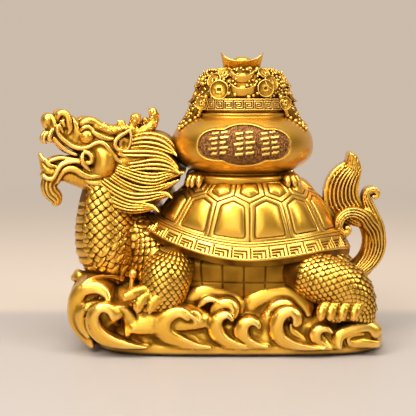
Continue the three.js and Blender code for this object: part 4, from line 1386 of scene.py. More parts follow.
# Way down the flange, height over it and relief, above the keys and below them
FLANGE_UPPER = (
    (0.3, 0.1, 0.3), (0.55, -0.4, -0.9), (0.85, -0.4, -0.9), (1.1, 0.1, 0.4), (2.5, 0.1, 0.5),
    (2.75, -0.4, -0.9), (3.05, -0.4, -0.9), (3.3, 0.1, 0.4), (3.6, 0.1, 0.4),
)
FLANGE_LOWER = ((11.9, 0.1, 0.5), (12.4, 0.0, 0.8))
KEYS_START, KEYS_TALL = 3.7, 8.1


def shell_rim(sizes):
    """The rim: two raised bands, a sloping flange with its key pattern, and a plain lip."""
    across, down, marked = lattice(RIM_KEY, sizes.key_cells)
    turn = even_turns(across, *KEY_LINE)
    slope = np.array(FLANGE_RUN) / FLANGE_LONG
    normal = np.array(FLANGE_NORMAL)
    start = np.array(FLANGE_START)
    depth = sizes.key_depth / MM

    def on_flange(way, proud):
        out, drop = start + slope * way
        return out + normal[0] * proud, drop - normal[1] * proud

    rows, marks = [], []

    def row(out, drop, mark):
        rows.append(rim_point(turn, np.broadcast_to(out, turn.shape), np.broadcast_to(drop, turn.shape)))
        marks.append(np.broadcast_to(mark, turn.shape))

    upper, lower = ([(*on_flange(w, p), m) for w, p, m in part] for part in (FLANGE_UPPER, FLANGE_LOWER))
    for out, drop, mark in (*RIM_INNER, *upper):
        row(out, drop, mark)
    for share, line in zip(down, marked):
        out, drop = on_flange(KEYS_START + KEYS_TALL * share, np.where(line, -depth, 0.08))
        row(out, drop, np.where(line, -1.0, 0.45))
    for out, drop, mark in (*lower, *RIM_LIP):
        row(out, drop, mark)
    rows, marks = np.array(rows)[::-1], np.array(marks)[::-1]
    return rows.reshape(-1, 3), [closed_rings(*rows.shape[:2])], {"relief": marks.ravel()}


class TURTLE_OT_shell(bpy.types.Operator):
    """Models the shell's plates and its rim with the key pattern"""

    bl_idname = "turtle.shell"
    bl_label = "Shell and rim"

    def execute(self, context):
        sizes = context.scene.shell_sizes
        keep(lay_mesh("shell_plates", *shell_dome(sizes)), TURTLE, antique_gold())
        keep(lay_mesh("shell_rim", *shell_rim(sizes)), TURTLE, antique_gold())
        return {"FINISHED"}


# Head

HEAD_PIVOT = np.array([-76.0, -4.0, 128.0])
HEAD_YAW = math.radians(20)
SNOUT_ROOT_X, SNOUT_SHORTER = -25.0, 0.06  # the snout is drawn in by this share from here on
HEAD_DARKER = 0.1
TRENCH = 0.45  # how far the groove round each line reaches past it
GRANULES, GRANULE_RADIUS = 7, 0.75

# Rows of x, y, z and radius about the throat, before the head is turned, for the near side.
# Their places were picked in an enlarged view and worked out in millimetres at a depth.
HEAD_LINES = (
    (
        (-49, -3, 33.5, 1.8), (-50, -3, 37, 2.1), (-48.5, -3, 40, 2.3), (-46, -3, 40.5, 2.3),
        (-44.5, -4.5, 39, 2.1), (-43.5, -6, 36, 2.0), (-42.5, -6.5, 31.5, 1.9),
    ),
    ((-48.9, -5, 28.9, 1.6), (-50.8, -5, 26.5, 1.6), (-51.5, -5, 23.5, 1.5), (-49.9, -5, 21.2, 0.8)),
    ((-45.0, -6.5, 30.8, 1.8), (-47.1, -7, 27.6, 1.9), (-47.7, -7, 24.6, 1.9), (-46.1, -7, 22.9, 1.2)),
    (
        (-40.5, -5, 38, 2.1), (-40, -6, 41.5, 2.5), (-37, -7, 43, 2.8), (-34, -8, 41, 3.0),
        (-33, -9, 36, 2.8), (-32, -9, 31.5, 2.1), (-33.5, -9, 28.5, 1.2),
    ),
    (
        (-37.7, -8.5, 29.1, 1.0), (-39.0, -8.5, 32.2, 1.4), (-40.3, -8.5, 33.8, 1.6),
        (-41.7, -8.5, 32.2, 1.7), (-41.0, -8.5, 28.4, 1.7), (-38.2, -9, 24.8, 1.6),
        (-34.4, -9.5, 21.7, 1.6), (-31.2, -10, 19.5, 1.6), (-27.6, -11, 18.1, 1.6), (-23.3, -12, 17.6, 1.6),
        (-19.1, -13, 18.7, 1.6), (-15.4, -14.5, 20.9, 1.6), (-11.7, -16, 22.0, 1.6),
        (-8.3, -17.5, 20.7, 1.6), (-5.1, -18, 16.9, 1.6), (-2.0, -18, 12.7, 1.6), (1.6, -18, 8.5, 1.5),
        (5.6, -18, 5.9, 1.5), (10.1, -18.5, 4.8, 1.4), (14.4, -19.5, 5.7, 1.4), (18.7, -20.5, 8.5, 1.3),
        (23.2, -21, 10.1, 1.3), (27.9, -21, 10.0, 1.2),
    ),
    ((-44.0, -6.5, 24.8, 1.6), (-39.5, -7, 20.3, 1.6), (-34.2, -8, 15.9, 1.6), (-28.0, -10, 13.1, 1.2)),
    (
        (-53.7, -2, 13.1, 1.4), (-52.2, -3, 10.5, 1.8), (-50.0, -4.5, 8.9, 1.8), (-47.9, -6, 5.9, 1.6),
        (-43.0, -6.5, 4.7, 1.2),
    ),
    (
        (-47.6, -5, 8.3, 1.2), (-43.4, -6, 10.0, 1.5), (-38.0, -7, 10.7, 1.5), (-32.3, -9, 9.9, 1.4),
        (-25.5, -11, 9.2, 1.0),
    ),
    (
        (-52.1, -5, -1.8, 1.4), (-49.8, -6.5, -3.9, 1.6), (-46.1, -7.5, -4.0, 1.7), (-43.7, -8, -1.2, 1.6),
        (-41.5, -8.5, 2.6, 1.5), (-38.2, -9, 6.0, 1.5), (-33.7, -10, 7.6, 1.5), (-29.4, -11, 8.1, 1.3),
        (-25.2, -12, 7.5, 1.0),
    ),
    (
        (-45.2, -7.5, -1.0, 0.9), (-42.5, -8, 3.4, 1.0), (-38.6, -8.5, 7.3, 1.0), (-33.5, -9.5, 8.9, 1.0),
        (-28.3, -11, 9.0, 0.8),
    ),
    (
        (-41.9, -6, -6.5, 1.4), (-40.0, -7.5, -2.2, 1.8), (-36.3, -9, 2.1, 2.2), (-32.1, -10, 3.2, 2.4),
        (-28.1, -11, 2.0, 2.4), (-23.9, -12, -0.8, 2.3), (-18.8, -13, -3.0, 2.0), (-11.8, -14.5, -2.6, 1.4),
    ),
    (
        (-22.6, -12.5, 14.5, 1.2), (-24.2, -13, 11.5, 1.6), (-23.7, -13.5, 7.7, 1.8),
        (-21.3, -13.5, 4.3, 1.6), (-18.3, -13.5, 1.2, 0.7),
    ),
    (
        (-21.9, -13, 15.1, 1.5), (-18.8, -14, 13.7, 1.8), (-17.4, -14.5, 10.7, 1.8),
        (-18.3, -14.5, 7.6, 1.6), (-20.1, -14.5, 7.1, 1.1), (-20.8, -14.5, 8.8, 0.9),
    ),
    ((0.4, -15, 5.8, 2.2), (4.4, -16, 4.1, 1.9), (7.6, -17, 2.1, 1.2), (9.4, -17.5, 0.9, 0.5)),
    ((0.1, -15, 2.2, 2.2), (3.8, -16, 0.2, 1.8), (7.3, -17, -0.1, 1.0), (9.3, -17.5, 0.7, 0.5)),
    ((-3.1, -14, -2.3, 2.2), (-0.1, -15.5, -3.9, 1.6), (3.0, -16.5, -5.6, 0.5)),
    ((-5.9, -13.5, -5.0, 2.0), (-1.7, -15, -6.1, 1.5), (2.9, -16.5, -5.8, 0.5)),
    (
        (-23.3, -10.5, -3.3, 0.6), (-19.2, -12, -6.4, 1.6), (-13.9, -13.5, -7.8, 2.0),
        (-9.0, -14.5, -8.7, 1.6), (-5.3, -15.5, -9.6, 0.5),
    ),
    (
        (-21.6, -10.5, -2.0, 0.8), (-15.3, -12.5, -5.6, 1.6), (-10.5, -13.5, -6.5, 1.8),
        (-6.2, -14.5, -7.7, 1.2),
    ),
    ((2.3, -18, 13.4, 1.6), (7.1, -19, 12.0, 1.6), (10.3, -20, 12.0, 1.2), (13.3, -20.5, 11.8, 0.4)),
    ((4.1, -17.5, 8.9, 1.4), (7.8, -18.5, 8.9, 1.4), (10.8, -20, 10.6, 0.8)),
    (
        (-24.0, -11, 30.1, 1.2), (-22.7, -12.5, 32.2, 1.4), (-19.5, -13.5, 33.2, 1.5),
        (-16.9, -14, 31.5, 1.4), (-14.8, -14.5, 28.5, 1.2),
    ),
    (
        (-23.3, -8, 31.6, 2.2), (-21.8, -9, 35.2, 3.2), (-18.0, -9.5, 36.7, 3.8), (-14.1, -10, 36.0, 3.6),
        (-11.0, -11, 34.1, 3.0),
    ),
    ((-16.2, -14.5, 29.6, 1.4), (-12.7, -15, 27.1, 2.0), (-7.7, -15.5, 24.8, 2.2), (-2.1, -15.5, 24.0, 1.6)),
    (
        (9.7, -19.5, 30.8, 0.9), (6.6, -19.5, 28.6, 1.2), (2.4, -19, 26.2, 1.4), (-0.6, -18.5, 22.9, 1.5),
        (-0.9, -18.5, 19.3, 1.6), (1.6, -18.5, 16.5, 1.6), (5.2, -19, 16.2, 1.6), (8.5, -19.5, 18.4, 1.5),
        (10.3, -20, 22.8, 1.4), (10.4, -20, 27.2, 1.2), (9.7, -19.5, 30.8, 0.9),
    ),
)
UPPER_JAW = ((-6, 0, 22, 12.5), (-22, 0, 22.5, 9.5), (-34, 0, 28, 7.0), (-45, 0, 33.5, 4.6))
LOWER_JAW = (
    (-14, 0, -3, 10), (-26, 0, -2.5, 8), (-36, 0, -0.5, 6.4),
    (-47, 0, 1, 5.4), (-51.5, 0, 6, 2.6), (-54, 0, 12.5, 0.8),
)
# The two balls of the cheek: centre and half sizes
CHEEK = (
    ((-6.5, -11, 11.5), (8.2, 9, 7.5)),
    ((-7.5, -11, 5), (8, 9, 8)),
)
HORN = (
    (-12.6, -10.5, 33.0, 3.2), (-7.6, -11, 31.8, 3.6), (-2.7, -11.5, 29.8, 4.0), (2.9, -12, 29.7, 3.8),
    (8.1, -12, 30.5, 3.4), (13.7, -12.5, 29.0, 3.5), (19.4, -13, 28.1, 3.7), (24.5, -13.5, 30.0, 3.7),
    (28.4, -14, 34.2, 3.5), (29.7, -14, 39.5, 3.3), (28.8, -14, 43.7, 2.8),
)
HORN_THICKER = 1.12
TINES = (
    ((5.5, -11, 32.4, 2.6), (5.8, -11, 35.5, 2.5)),
    ((13.3, -12, 31.8, 3.0), (15.4, -12, 35.7, 3.0), (16.3, -12, 38.7, 3.8)),
    ((20.8, -10, 29.9, 3.0), (23.1, -9.5, 33.8, 2.6), (24.4, -9, 37.1, 2.3)),
)


def head_clay(cell):
    """The head about its throat, looking along -X."""
    clay = Clay((-58, -25, -30), (44, 25, 52), cell)
    clay.ball((-3, 0, 17), (20, 16, 17.5), blend=4)
    clay.strand(((2, 0, 2, 15), (-8, 0, -1, 14), (-16, 0, -3, 11.5)), blend=4, flat=1.1)
    clay.strand(UPPER_JAW, blend=3, flat=1.2)
    clay.strand(LOWER_JAW, blend=3, flat=1.3)
    clay.strand(((-36, -6, 38, 5), (-29, -6, 35, 5), (-25, -7, 29, 5)), blend=2)
    clay.ball((-18, -8.5, 33.5), (5, 5, 4), blend=1.5)
    clay.strand(((-14, 0, 6, 5), (-30, 0, 8, 4.6), (-46, 0, 6, 2)), blend=2, flat=1.5)
    clay.ball((-48, 0, 38), (4.6, 6.5, 5), blend=2)
    for centre, size in (((-36.0, -7.5, 36.2), (4, 3.5, 4)), ((-19.6, -10.6, 26.1), (5.4, 5.2, 5.4))):
        clay.ball(centre, size, blend=1)
    for line in HEAD_LINES:
        clay.strand([(x, y + 1.3 * r, z, 1.05 * r) for x, y, z, r in line], blend=1.5)
    for line in HEAD_LINES:
        clay.strand([(x, y - 0.5 * r, z, r + TRENCH) for x, y, z, r in line], blend=0.3, cut=True)
    for centre, size in CHEEK:
        clay.ball(centre, size, blend=3.5)
    for line in HEAD_LINES:
        clay.strand(line, blend=0.3)
    clay.ball((6.0, -16.5, 20.5), (4.6, 3.0, 5.2), blend=1.0)
    clay.ball((5.4, -20.2, 20.8), (3.0, 2.4, 4.4), blend=0.6, cut=True)
    clay.strand(((-38.6, -10, 39.8, 1.8), (-37.6, -11.5, 40.2, 1.4)), blend=0.5, cut=True)
    clay.strand(((-20.9, -14.5, 9.9, 1.2), (-20.9, -17, 9.9, 1.2)), blend=0.4, cut=True)
    clay.strand((*HORN[:8], (27, -13, 34, 3)), blend=1.2)
    beard = (
        (-44, -2, -4, 5), (-47.5, -2, -8.5, 4.8), (-46.5, -2, -13.5, 5), (-42.5, -2, -18, 4.4),
        (-42, -2, -22, 2.4), (-44, -2, -24, 0.8),
    )
    clay.strand(beard, blend=1, flat=0.9, flutes=9, depth=-0.22)
    clay.mirror()
    rng = np.random.default_rng(11)
    for line in (HORN, *TINES):
        thicker = [(x, y, z, HORN_THICKER * r) for x, y, z, r in line]
        clay.strand(thicker, blend=1.2)
        for x, y, z, r in spline(thicker, 1.0)[2:]:
            for _ in range(GRANULES):
                out = rng.normal(size=3)
                out /= np.linalg.norm(out)
                if out[1] < 0.5:
                    clay.ball((x, y, z) + out * (r + 0.1), (GRANULE_RADIUS,) * 3, blend=0.1)
    return clay


def head_to_world(points):
    c, s = math.cos(HEAD_YAW), math.sin(HEAD_YAW)
    x, y, z = points.T
    x = x + SNOUT_SHORTER * np.maximum(0, SNOUT_ROOT_X - x)
    return np.column_stack([x * c - y * s, x * s + y * c, z]) + HEAD_PIVOT


class TURTLE_OT_head(bpy.types.Operator):
    """Carves the head with its horns, ears, whiskers and beard"""

    bl_idname = "turtle.head"
    bl_label = "Head"

    def execute(self, context):
        points, faces, marks = head_clay(context.scene.carving_sizes.head_cell / MM).surface()
        darker = {"relief": marks["relief"] - HEAD_DARKER}
        keep(lay_mesh("head", head_to_world(points), faces, darker), TURTLE, antique_gold())
        return {"FINISHED"}


# Mane and tail

MANE_DARKER = 0.3
# Each lock from its root to its tip: rows of x, z and half width, y at both ends, and its strands.
# The places of these rows and of the tail's were picked in an enlarged view, as the waves' were.
LOCKS = (
    (
        (
            (-59, 148.5, 3), (-54, 149.5, 4), (-48, 150, 4.5), (-39, 148.5, 4.5), (-32.5, 145.5, 3),
            (-27.5, 142, 1), (-26, 140.5, 0.5),
        ),
        (-20, -29), 3,
    ),
    (
        ((-64, 142, 2), (-56, 142, 3), (-47, 142, 3), (-38, 141, 2.5), (-31, 138, 1.5), (-25, 132, 0.5)),
        (-22, -30), 2,
    ),
    (
        (
            (-72, 124.5, 2), (-63, 119, 3), (-52.5, 115.5, 3.5), (-42.5, 116, 3), (-33.5, 119, 2),
            (-24.5, 123.5, 0.5),
        ),
        (-23, -30), 3,
    ),
    (
        (
            (-67.5, 130, 2.5), (-59.5, 127, 4), (-50.5, 124.5, 4.5), (-41.5, 124, 4.5), (-32.5, 126.5, 3),
            (-25, 128, 1.5), (-20.5, 129, 0.5),
        ),
        (-24, -32), 4,
    ),
    (
        (
            (-58.5, 132.5, 1), (-51.5, 133.5, 3), (-42.5, 134.5, 4.5), (-34, 133.5, 4), (-28, 131, 2),
            (-23.5, 128, 0.5),
        ),
        (-25, -32), 3,
    ),
    (
        (
            (-78.5, 120.5, 2), (-69.5, 114.5, 3.5), (-59.5, 110.5, 4), (-48, 110.5, 3.5), (-39, 112.5, 2.5),
            (-33, 113, 1.5), (-29.5, 110.5, 0.5),
        ),
        (-24, -32), 3,
    ),
    (
        (
            (-93, 123.5, 1.5), (-83, 116, 3.5), (-73, 109, 4.5), (-61.5, 104.5, 4), (-50.5, 104, 3),
            (-43, 103.5, 1.5), (-39, 100.5, 0.5),
        ),
        (-21, -32), 4,
    ),
)


def lock_shape(count, dome=0.35, groove=1.5):
    """How far behind its face a lock of a number of strands lies across its width."""

    def shape(s, r):
        share = (s + 1) / 2 * count
        strand = 2 * (share - np.floor(share)) - 1
        fine = r / count * np.clip((r / count - 0.2) / 0.3, 0, 1)
        return dome * r * (1 - np.sqrt(1 - 0.96 * s**2)) + groove * fine * strand**2

    return shape


def lock_rows(rows, depth, wider=1.0):
    """Rows of x, y, z and half width for a lock, given its rows and the y of its two ends."""
    shares = np.linspace(*depth, len(rows))
    fullest = int(np.argmax([r for _, _, r in rows]))
    half = [max(r, 0.8 * rows[fullest][2]) if k < fullest else r for k, (_, _, r) in enumerate(rows)]
    return [(x, y, z, max(wider * r, 0.5)) for (x, z, _), y, r in zip(rows, shares, half)]


def mane_clay(cell):
    """Locks that stream back from the head."""
    clay = Clay((-98, -36, 94), (-14, 36, 158), cell)
    clay.ball((-60, 0, 132), (20, 22, 20), blend=3)
    clay.ball((-54, 0, 118), (24, 23, 14), blend=3)
    for rows, (root, tip), count in LOCKS:
        clay.band(lock_rows(rows, (root + 3, tip + 4), 1.7), lock_shape(count + 2), blend=0.3)
    for rows, depth, count in LOCKS:
        clay.band(lock_rows(rows, depth, 1.1), lock_shape(count), blend=0.3)
    for k, side in enumerate(np.linspace(-15, 0, 6)):
        drop = 0.02 * side * side
        line = [
            (-68, side * 0.6, 146 - drop, 2.4),
            (-57, side * 0.9, 152 - drop, 2.6),
            (-45, side * 1.1, 149.5 - drop * 1.6, 2.6),
            (-34, side * 1.2, 142 - drop * 1.8, 2.2),
            (-27 - k % 2 * 3, side * 1.25, 134 - drop * 2, 1.0),
        ]
        clay.strand(line, blend=0.6)
    clay.mirror()
    return clay


# Each lock of the tail: rows of x, z and half width, how far its face stands out, the share of that at
# its root, how far its back reaches past the middle plane, and its strands
TAIL_LOCKS = (
    (
        (
            (109, 91, 5), (103, 97, 9.5), (96.5, 104, 13), (95, 111, 13), (96, 118, 12), (99, 124, 10),
            (102, 128, 7.8), (103, 131.5, 6), (103, 135.5, 4.5), (102, 139, 2.8), (101, 141, 1),
        ),
        9.5, 1, 6, 9,
    ),
    (
        (
            (125, 74, 3), (124, 85, 4), (119.5, 95, 4), (115.5, 103, 4), (113.5, 109, 3), (115, 113, 2.5),
            (119.5, 114, 2.2), (122, 111, 2), (120.5, 108, 1.5), (118.5, 109, 1),
        ),
        8.5, 1, 6, 4,
    ),
    (
        (
            (104.5, 51, 4), (110.5, 54.5, 5.5), (117, 61, 7), (120.5, 69, 8), (121, 78, 8), (119.5, 87, 7),
            (116.5, 94, 5), (113, 99, 2),
        ),
        9.5, 1, 6, 7,
    ),
    (
        (
            (121.5, 76, 5), (120, 83, 5.5), (116, 88.5, 5), (112, 94, 4.5), (105.5, 97.5, 4.2),
            (99, 97.5, 3.8), (94, 94, 3.5), (92, 88.5, 3.2), (93.5, 84.5, 3), (97, 82.5, 2.7),
            (99.5, 84.5, 2.3), (99.5, 86.5, 1.8), (98, 87, 1.2),
        ),
        18, 0.55, -5, 4,
    ),
)


TAIL_STEM = (
    (88, 0, 54, 9), (102, 0, 50, 9), (114, 0, 58, 8.5),
    (119.5, 0, 72, 8), (117, 0, 86, 7.5), (108, 0, 98, 8),
)


def tail_clay(cell):
    """The tail's stem, its two curls and the flame."""
    clay = Clay((78, -20, 42), (131.5, 20, 144), cell)
    clay.strand(TAIL_STEM, blend=2, flat=0.9)
    for rows, thick, root, back, count in TAIL_LOCKS:
        faces = -thick * np.clip(np.linspace(root, 1.45, len(rows)), 0, 1)
        way = [(x, y, z, r) for (x, z, r), y in zip(rows, faces)]
        clay.band(way, lock_shape(count, dome=0.7, groove=1.8), blend=0.3, back=back)
    clay.mirror()
    return clay


class TURTLE_OT_mane(bpy.types.Operator):
    """Carves the mane"""

    bl_idname = "turtle.mane"
    bl_label = "Mane"

    def execute(self, context):
        points, faces, marks = mane_clay(context.scene.carving_sizes.hair_cell / MM).surface()
        darker = {"relief": marks["relief"] - MANE_DARKER}
        keep(lay_mesh("mane", points, faces, darker), TURTLE, antique_gold())
        return {"FINISHED"}


class TURTLE_OT_tail(bpy.types.Operator):
    """Carves the tail"""

    bl_idname = "turtle.tail"
    bl_label = "Tail"

    def execute(self, context):
        points, faces, marks = tail_clay(context.scene.carving_sizes.hair_cell / MM).surface()
        keep(lay_mesh("tail", points, faces, marks), TURTLE, antique_gold())
        return {"FINISHED"}


# Bowl and treasure

BOWL_X = 21.5
BOWL_RADIUS = 52.5
BOWL_WIDEST_Z = 146.08
COLLAR_Z = (173.0, 181.5)
COLLAR_RADIUS = 36.5
HEAP_RISE = 22.0
PANEL_Z = 149.5
BOWL_BELOW, BOWL_ABOVE = 23.46, 29.44  # from the bowl's widest level to where its curve would close
PANEL_TURN, PANEL_STEP = 0.82, 0.0085  # fine columns reach this far round, with this step
PANEL_MIDDLE = (24, 15.8)  # half sizes of the panel's middle lobe and of its two end lobes
PANEL_END = (16.8, 12.2)
OFF_PANEL = 999.0
CLAW_CELL, HEAP_CELL = 0.65, 1.3
HEAP_RELIEF = -0.45


def bowl_radius(z):
    z = np.asarray(z, float)
    half = np.where(z < BOWL_WIDEST_Z, BOWL_BELOW, BOWL_ABOVE)
    share = np.minimum(1, np.abs(z - BOWL_WIDEST_Z) / half)
    return BOWL_RADIUS * np.maximum(0, 1 - share**2.3) ** 0.5


def bowl_profile():
    """Radius and height up the bowl, from under its foot to inside its collar."""
    z = np.concatenate([np.linspace(127.2, 133, 12), np.linspace(133.3, 166, 84), np.linspace(166.5, 169, 6)])
    wall = [(float(r), float(h)) for r, h in zip(np.maximum(bowl_radius(z), 36.0), z)]
    foot = [
        (30, 118), (39.4, 118), (39.8, 122.6), (40.4, 123.4), (40.6, 124.6), (40.2, 125.8), (39.4, 126.4),
        (38.4, 126.7),
    ]
    neck = [
        (36.4, 169.6), (36.6, 170.3), (36.2, 171.0), (34.8, 171.4), (34.4, 172.2), (34.6, 173.4),
        (34.6, 180), (20, 180.5),
    ]
    return np.array(foot + wall + neck)


def panel_reach(u, w):
    """Distance inside the panel's lobed outline, in millimetres along the bowl's wall."""
    (long, tall), (end_long, end_tall) = PANEL_MIDDLE, PANEL_END
    middle = (np.abs(u / long) ** 2.2 + np.abs(w / tall) ** 2.2) ** (1 / 2.2)
    side = ((np.maximum(np.abs(u) - 20, 0) / end_long) ** 2.4 + np.abs(w / end_tall) ** 2.4) ** (1 / 2.4)
    side = np.where(np.abs(u) < 8, 2.0, side)
    return np.maximum((1 - middle) * tall, (1 - side) * end_tall)


# Where each group of strokes stands along the panel, and the lengths of its rows as shares
STROKES = {
    -18.8: (0.8, 0.95, 0.7, 1.0, 0.75),
    0.0: (0.9, 0.75, 1.0, 0.7, 0.9),
    18.8: (0.75, 1.0, 0.7, 0.9, 0.8),
}
STROKE_LONG = 6.6
STROKE_HALF_TALL = 0.8
TOP_ROW, ROW_STEP = 8.6, 3.6


def panel_strokes(u, w):
    """Rows of short plain strokes on the panel's ground: which spots are raised."""
    raised = np.zeros_like(u, bool)
    for middle, shares in STROKES.items():
        for k, share in enumerate(shares):
            height = TOP_ROW - ROW_STEP * k + 0.12 * (u - middle)
            long = STROKE_LONG * share
            for side in (-1, 1):
                centre = middle + side * (0.8 + long / 2)
                raised |= (np.abs(u - centre) < long / 2) & (np.abs(w - height) < STROKE_HALF_TALL)
    return raised


def bowl_form(relief):
    """The bowl in one closed skin, with the panel on its front."""
    profile = bowl_profile()
    fine = np.arange(-PANEL_TURN, PANEL_TURN, PANEL_STEP)
    coarse = np.linspace(PANEL_TURN, TAU - PANEL_TURN, 120, endpoint=False)
    turns = np.concatenate([fine, coarse])
    radius, height = profile[:, :1], profile[:, 1:]
    u = np.where(turns > math.pi, OFF_PANEL, BOWL_RADIUS * turns)
    u, w = np.broadcast_arrays(u[None, :], height - PANEL_Z)
    inside = panel_reach(u, w)
    on_wall = (height > 130) & (height < 168.5)
    inside = np.where(on_wall, inside, -9)
    edge = np.clip(inside / 0.5, 0, 1) * relief
    ground = np.clip((inside - 1.6) / 0.5, 0, 1)
    rng = np.random.default_rng(3)
    grit = rng.normal(0, 0.18, inside.shape)
    strokes = panel_strokes(u, w) & (ground > 0)
    proud = edge - ground * (relief + 0.5) + np.where(strokes, 0.95, grit) * ground
    r = radius + proud
    x = BOWL_X + r * np.sin(turns)
    y = -r * np.cos(turns)
    points, faces = capped(np.stack([x, y, np.broadcast_to(height, r.shape)], axis=-1))
    mark = np.where(inside > 0, 0.5, 0.0) * (1 - ground) + np.where(strokes, 0.7, -0.3) * ground
    mark = mark - 0.8 * np.exp(-(((inside - 1.9) / 0.35) ** 2)) * on_wall
    sunk = ground * np.where(strokes, 0.0, 1.0)
    marks = {"relief": np.append(mark, (0, 0)), "ground": np.append(sunk, (0, 0))}
    return points, faces, marks


COLLAR_KEY = """
##########
..........
#########.
#.......#.
#.#####.#.
#.#...#.#.
#.#.###.#.
#.#.....#.
#.#######.
#.........
##########
"""


def collar_form(relief):
    """The collar with its key pattern, as a closed ring."""
    across, down, marked = lattice(COLLAR_KEY, 32)
    turn = TAU * across
    rows, sunk = [], []
    for out, z, mark in ((-3.5, 180.2, 0), (-1.6, 181.3, 0), (-0.2, 181.5, 0)):
        rows.append((np.full(turn.shape, COLLAR_RADIUS + out), np.full(turn.shape, z)))
        sunk.append(np.full(turn.shape, mark))
    for share, line in zip(down, marked):
        rows.append((COLLAR_RADIUS + np.where(line, relief, 0.0), np.full(turn.shape, 181.3 - 8.0 * share)))
        sunk.append(np.where(line, 0.0, 1.0))
    for out, z, mark in ((-0.2, 173.1, 0), (-1.6, 173.0, 0), (-3.5, 173.6, 0)):
        rows.append((np.full(turn.shape, COLLAR_RADIUS + out), np.full(turn.shape, z)))
        sunk.append(np.full(turn.shape, mark))
    radius, height = (np.array(part)[::-1] for part in zip(*rows))
    sunk = np.array(sunk)[::-1]
    points = np.stack([BOWL_X + radius * np.cos(turn), radius * np.sin(turn), height], axis=-1)
    marks = {"relief": np.where(sunk > 0, -0.4, 0.6).ravel(), "ground": sunk.ravel()}
    return points.reshape(-1, 3), [closed_rings(*radius.shape)], marks


def heap_radius(z):
    """How far the heap reaches from the bowl's axis at a height."""
    share = (z - COLLAR_Z[1]) / HEAP_RISE
    return COLLAR_RADIUS * np.interp(share, (0, 0.4, 0.7, 0.92, 1), (0.97, 0.93, 0.84, 0.66, 0.0))


SPILL_SPREAD = 0.72  # how far round each end the spill reaches at its top


def spill_line(t):
    """Height and reach of the heap that spills over the ends of the bowl, from top (0) to foot (1)."""
    return 191.0 - 30.0 * t, float(np.interp(t, (0, 0.3, 0.5, 0.8, 1), (31.5, 35.5, 38, 42, 47)))


def heap_core(cell):
    """The packed inside of the heap, which shows between the pearls."""
    clay = Clay((-38, -42, 150), (82, 42, 208), cell)
    x, y, z = clay.grid()
    reach = np.sqrt((x - BOWL_X) ** 2 + y**2)
    levels = COLLAR_Z[1] + HEAP_RISE * np.array([0, 0.4, 0.7, 0.92, 1])
    top = np.interp(z, levels, COLLAR_RADIUS * np.array([0.93, 0.9, 0.8, 0.6, 0.0]))
    field = np.maximum(reach - top, 181.2 - z)
    clay.field = np.clip(np.maximum(field, z - 202.5), -FAR, FAR).astype(np.float32)
    for end in (0, math.pi):
        for t in np.linspace(0, 1, 9):
            z0, out = spill_line(t)
            spread = SPILL_SPREAD - 0.40 * t
            for turn in np.linspace(-spread, spread, 7):
                r = 3.4 - 0.8 * t
                away = out - r * 0.7
                centre = (BOWL_X + away * math.cos(end + turn), away * math.sin(end + turn), z0)
                clay.ball(centre, (r, r, r), blend=1.5)
    return clay


def ball_template(radius):
    """A pearl of 80 faces."""
    golden = (1 + 5**0.5) / 2
    points = [
        (-1, golden, 0), (1, golden, 0), (-1, -golden, 0), (1, -golden, 0), (0, -1, golden), (0, 1, golden),
        (0, -1, -golden), (0, 1, -golden), (golden, 0, -1), (golden, 0, 1), (-golden, 0, -1),
        (-golden, 0, 1),
    ]
    faces = [
        (0, 11, 5), (0, 5, 1), (0, 1, 7), (0, 7, 10), (0, 10, 11), (1, 5, 9), (5, 11, 4), (11, 10, 2),
        (10, 7, 6), (7, 1, 8), (3, 9, 4), (3, 4, 2), (3, 2, 6), (3, 6, 8), (3, 8, 9), (4, 9, 5), (2, 4, 11),
        (6, 2, 10), (8, 6, 7), (9, 8, 1),
    ]
    points = [np.array(p) / np.linalg.norm(p) for p in points]
    middles, split = {}, []

    def middle(a, b):
        key = tuple(sorted((a, b)))
        if key not in middles:
            half = points[a] + points[b]
            points.append(half / np.linalg.norm(half))
            middles[key] = len(points) - 1
        return middles[key]

    for a, b, c in faces:
        ab, bc, ca = middle(a, b), middle(b, c), middle(c, a)
        split += [(a, ab, ca), (b, bc, ab), (c, ca, bc), (ab, bc, ca)]
    points = np.array(points) * radius
    return lay_mesh("pearl", points / MM, [np.array(split)], {"relief": np.full(len(points), 0.45)})


def coin_form(radius, sides=28):
    """A coin with a raised edge, a square hole and a rough face, facing +Z."""
    profile = ((0.0, 0.96), (0.10, 1.0), (0.16, 0.97), (0.16, 0.89), (0.11, 0.86), (0.11, 0.42))
    turns = TAU * np.arange(sides) / sides
    rings = []
    for h, r in profile:
        level = np.full(sides, radius * h)
        rings.append(np.column_stack([radius * r * np.cos(turns), radius * r * np.sin(turns), level]))
    square = np.maximum(np.abs(np.cos(turns)), np.abs(np.sin(turns)))
    for h, r in ((0.14, 0.28), (0.14, 0.2), (0.06, 0.17)):
        size, level = radius * r / square, np.full(sides, radius * h)
        rings.append(np.column_stack([size * np.cos(turns), size * np.sin(turns), level]))
    rings = [np.column_stack([rings[0][:, :2], np.full(sides, -radius * 0.06)])] + rings
    points, faces = capped(rings)
    relief = (-1, -0.5, 0.7, 0.7, 0.3, -0.35, -0.15, 0.6, 0.6, -0.6)
    marks = np.append(np.repeat(relief, sides), (-1, -1))
    rng = np.random.default_rng(5)
    grit = np.zeros(len(points))
    grit[5 * sides : 7 * sides] = rng.normal(0, radius * 0.025, 2 * sides)
    points[:, 2] += grit
    return points, faces, {"relief": marks}


